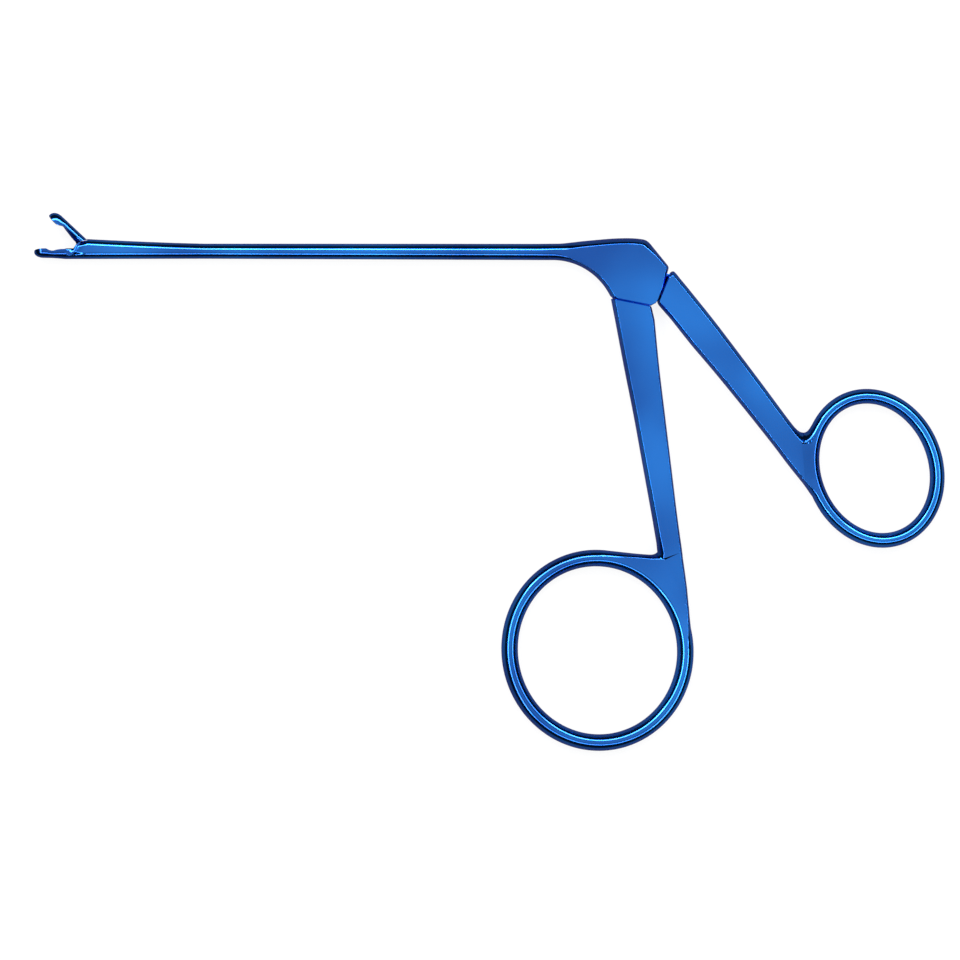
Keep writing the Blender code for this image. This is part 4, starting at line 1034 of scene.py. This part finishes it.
def rear_shank():
    creases = (EDGE_CREASE, EDGE_CREASE)
    halves = (HALF_THICKNESS, HALF_THICKNESS)
    stations = []
    for row in smooth_curve([Vector(row) for row in REAR_ROWS], CURVE_STEPS):
        bands = (row[4] * MM, row[5] * MM)
        stations.append(Station(*in_mm([row[:2], row[2:4]]), halves, bands, creases))
    for outer, inner, band, way in REAR_BEND:
        bands = (band * MM, REAR_INNER_BAND)
        stations.append(Station(*in_mm([outer, inner]), halves, bands, creases, (way, None)))
    square_bands(stations, 5 * CURVE_STEPS, 10 * CURVE_STEPS + 1)
    place, way, band = mitre(REAR_MITRE)
    last = Vector((24.70, -34.30)) * MM
    stations.append(Station(place, last, halves, (band, REAR_INNER_BAND), creases, (way, None)))
    end, following = stations[:2]
    bevel = SEAM_BEVEL / 2
    inward = following.first + following.second - end.first - end.second
    inward = inward.normalized() * bevel
    stations[0] = bevelled_end(end, bevel, Vector((0.0, 0.0)))
    first, second = end.first + inward, end.second + inward
    stations.insert(1, Station(first, second, halves, end.bands, creases))
    return loft("rear_handle", stations)


def rear_web():
    """The web between the shank's end and the ring, which slopes down to the ring's crown."""
    stations = []
    for degrees in (199.0, 203.0, 207.0):
        point = ring_inside(SMALL_RING, degrees, WEB_INSET * (211.0 - degrees) / 12.0)
        stations.append(web_station(point, SMALL_RING, degrees, 1.04 * MM, 0.0))
    stations += web_edge(REAR_WEB_ROWS, SMALL_RING, (0.0, 0.96))
    place, inward, band = mitre(REAR_MITRE)
    stations.append(web_station(place, SMALL_RING, 229.0, band, 1.0, EDGE_CREASE, inward))
    for x, y, degrees in REAR_WEB_INNER:
        stations.append(web_station(Vector((x, y)) * MM, SMALL_RING, degrees, 0.0, 1.0))
    stations += web_edge(REAR_WEB_END, SMALL_RING, (1.0, 0.3))
    for degrees, inset, band in REAR_WEB_TAIL:
        point = ring_inside(SMALL_RING, degrees, inset * MM)
        stations.append(web_station(point, SMALL_RING, degrees, band * MM, 0.0))
    return loft("rear_web", stations)


def make_rear_handle():
    item = solid("rear_handle", rear_shank())
    join(item, "web", rear_web())
    join(item, "ring", finger_ring("small_ring", *SMALL_RING))
    half = TONGUE_THICKNESS / 2
    faces = (MIDDLE - half, MIDDLE + half)
    neck = capsule(PIVOT, Vector(REAR_NECK_END), PIVOT_BOSS_RADIUS, REAR_NECK_RADIUS, 14)
    join(item, "neck", prism("neck", neck, *faces))
    arm = capsule(PIVOT, NOSE, 0.95 * MM, NOSE_ARM_RADIUS)
    join(item, "arm", prism("arm", arm, *faces))
    join(item, "nose", pin("nose", NOSE, NOSE_RADIUS, *faces))
    hole = PIVOT_RADIUS + RUNNING_FIT
    cut(item, "pivot_hole", pin("pivot_hole", PIVOT, hole, 0.0, HEAD_THICKNESS))
    return item


# Materials


class Nodes:
    """A short way to write a node tree."""

    def __init__(self, name):
        self.material = bpy.data.materials.new(name)
        self.material.use_nodes = True
        self.tree = self.material.node_tree
        self.shader = self.tree.nodes["Principled BSDF"]

    def add(self, kind, **values):
        node = self.tree.nodes.new(kind)
        for key, value in values.items():
            if hasattr(node, key):
                setattr(node, key, value)
            else:
                node.inputs[key.replace("_", " ")].default_value = value
        return node

    def link(self, output, target):
        self.tree.links.new(output, target)


def blue_metal():
    nodes = Nodes("blue_metal")
    shader = nodes.shader
    shader.inputs["Metallic"].default_value = 1.0
    shader.inputs["Specular Tint"].default_value = (0.10, 0.32, 1.0, 1.0)
    shader.inputs["Coat Weight"].default_value = 0.55
    shader.inputs["Coat Roughness"].default_value = 0.04
    place = nodes.add("ShaderNodeTexCoord")

    # The anodised colour drifts slowly, from deep to lighter blue
    drift = nodes.add("ShaderNodeTexNoise", Scale=62.0, Detail=1.5, Roughness=0.45)
    nodes.link(place.outputs["Object"], drift.inputs["Vector"])
    colors = nodes.add("ShaderNodeValToRGB")
    colors.color_ramp.elements[0].position = 0.36
    colors.color_ramp.elements[0].color = (0.000, 0.085, 0.44, 1.0)
    colors.color_ramp.elements[1].position = 0.66
    colors.color_ramp.elements[1].color = (0.012, 0.215, 0.80, 1.0)
    nodes.link(drift.outputs["Fac"], colors.inputs["Fac"])
    nodes.link(colors.outputs["Color"], shader.inputs["Base Color"])

    # Fine polishing grain, and the faint waves that polishing by hand leaves
    polish = nodes.add("ShaderNodeTexNoise", Scale=420.0, Detail=3.0, Roughness=0.5)
    nodes.link(place.outputs["Object"], polish.inputs["Vector"])
    spread = nodes.add("ShaderNodeMapRange", To_Min=0.10, To_Max=0.15)
    nodes.link(polish.outputs["Fac"], spread.inputs["Value"])
    nodes.link(spread.outputs["Result"], shader.inputs["Roughness"])
    waves = nodes.add("ShaderNodeTexNoise", Scale=75.0, Detail=0.0)
    nodes.link(place.outputs["Object"], waves.inputs["Vector"])
    bump = nodes.add("ShaderNodeBump", Strength=0.5, Distance=0.0004)
    nodes.link(waves.outputs["Fac"], bump.inputs["Height"])
    nodes.link(bump.outputs["Normal"], shader.inputs["Normal"])
    return nodes.material


def bare_metal():
    nodes = Nodes("bare_metal")
    shader = nodes.shader
    shader.inputs["Metallic"].default_value = 1.0
    place = nodes.add("ShaderNodeTexCoord")
    grain = nodes.add("ShaderNodeTexNoise", Scale=1500.0, Detail=3.0, Roughness=0.6)
    nodes.link(place.outputs["Object"], grain.inputs["Vector"])
    colors = nodes.add("ShaderNodeValToRGB")
    colors.color_ramp.elements[0].color = (0.46, 0.47, 0.49, 1.0)
    colors.color_ramp.elements[1].color = (0.62, 0.63, 0.65, 1.0)
    nodes.link(grain.outputs["Fac"], colors.inputs["Fac"])
    nodes.link(colors.outputs["Color"], shader.inputs["Base Color"])
    spread = nodes.add("ShaderNodeMapRange", To_Min=0.24, To_Max=0.38)
    nodes.link(grain.outputs["Fac"], spread.inputs["Value"])
    nodes.link(spread.outputs["Result"], shader.inputs["Roughness"])
    return nodes.material


BLUE = blue_metal()
BARE = bare_metal()
for subpart in frame["record"]["subparts"]:
    node = frame["nodes"][subpart["node"]]
    node.data.materials.clear()
    node.data.materials.append(BLUE if subpart["material_slot"] == "blue_metal" else BARE)


# Pieces that stand for the blue nodes


for make, node, body in (
    (make_shaft_head, "shaft_head", "frame"),
    (make_upper_jaw, "upper_jaw", "upper_jaw"),
    (make_front_handle, "front_handle", "frame"),
    (make_rear_handle, "rear_handle", "rear_handle"),
):
    piece = baked(make())
    piece.name = "fine_" + node
    piece.data.name = piece.name
    piece.data.materials.clear()
    piece.data.materials.append(BLUE)
    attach(piece, body)
    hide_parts(node)


# Floor, lights and camera


def make_floor():
    bm = bmesh.new()
    bmesh.ops.create_grid(bm, x_segments=1, y_segments=1, size=3.0)
    mesh = bpy.data.meshes.new("floor")
    bm.to_mesh(mesh)
    bm.free()
    floor = bpy.data.objects.new("floor", mesh)
    bpy.context.scene.collection.objects.link(floor)
    # The floor glows white to the camera, and is a dimmer grey in the metal's reflections
    nodes = Nodes("floor")
    nodes.shader.inputs["Base Color"].default_value = (0.16, 0.16, 0.16, 1.0)
    nodes.shader.inputs["Roughness"].default_value = 1.0
    nodes.shader.inputs["Specular IOR Level"].default_value = 0.0
    nodes.shader.inputs["Emission Color"].default_value = (1.0, 1.0, 1.0, 1.0)
    path = nodes.add("ShaderNodeLightPath")
    glow = nodes.add("ShaderNodeMapRange", To_Min=0.05, To_Max=0.85)
    nodes.link(path.outputs["Is Camera Ray"], glow.inputs["Value"])
    nodes.link(glow.outputs["Result"], nodes.shader.inputs["Emission Strength"])
    mesh.materials.append(nodes.material)


def area_light(name, spot, size, energy):
    """A softbox that faces the middle of the view."""
    lamp = bpy.data.lights.new(name, "AREA")
    lamp.shape = "RECTANGLE"
    lamp.size, lamp.size_y = size
    lamp.energy = energy
    item = bpy.data.objects.new(name, lamp)
    bpy.context.scene.collection.objects.link(item)
    item.location = spot
    item.rotation_euler = (AIM - spot).to_track_quat("-Z", "Y").to_euler()


def make_lights():
    world = bpy.data.worlds.new("studio")
    bpy.context.scene.world = world
    world.use_nodes = True
    tree = world.node_tree
    background = tree.nodes["Background"]
    place = tree.nodes.new("ShaderNodeTexCoord")
    height = tree.nodes.new("ShaderNodeSeparateXYZ")
    sky = tree.nodes.new("ShaderNodeValToRGB")
    tree.links.new(place.outputs["Generated"], height.inputs["Vector"])
    tree.links.new(height.outputs["Z"], sky.inputs["Fac"])
    tree.links.new(sky.outputs["Color"], background.inputs["Color"])
    ramp = sky.color_ramp.elements
    for position, level in SKY[1:-1]:
        ramp.new(position)
    for position, level in SKY:
        step = min(ramp, key=lambda element: abs(element.position - position))
        step.color = (level, level, level, 1.0)
    background.inputs["Strength"].default_value = 1.0
    for name, (azimuth, elevation, width, level) in STRIPS.items():
        around = Matrix.Rotation(math.radians(azimuth), 3, "Z")
        lift = math.radians(elevation)
        way = around @ Vector((math.cos(lift), 0.0, math.sin(lift)))
        energy = level * math.pi * STRIP_LENGTH * width
        area_light(name, AIM + STRIP_DISTANCE * way, (STRIP_LENGTH, width), energy)


def make_camera():
    lens = bpy.data.cameras.new("camera")
    lens.lens = LENS
    lens.sensor_width = SENSOR
    lens.clip_start = 0.01
    camera = bpy.data.objects.new("camera", lens)
    bpy.context.scene.collection.objects.link(camera)
    back = Vector((-math.sin(VIEW_TILT), 0.0, math.cos(VIEW_TILT)))
    right = Vector((math.cos(VIEW_TILT), 0.0, math.sin(VIEW_TILT)))
    up = back.cross(right)
    turn = Matrix((right, up, back)).transposed().to_4x4()
    distance = FRAME_WIDTH * LENS / SENSOR
    camera.matrix_world = Matrix.Translation(AIM + back * distance) @ turn
    bpy.context.scene.camera = camera


make_floor()
make_lights()
make_camera()
bpy.context.scene.view_settings.view_transform = "Standard"
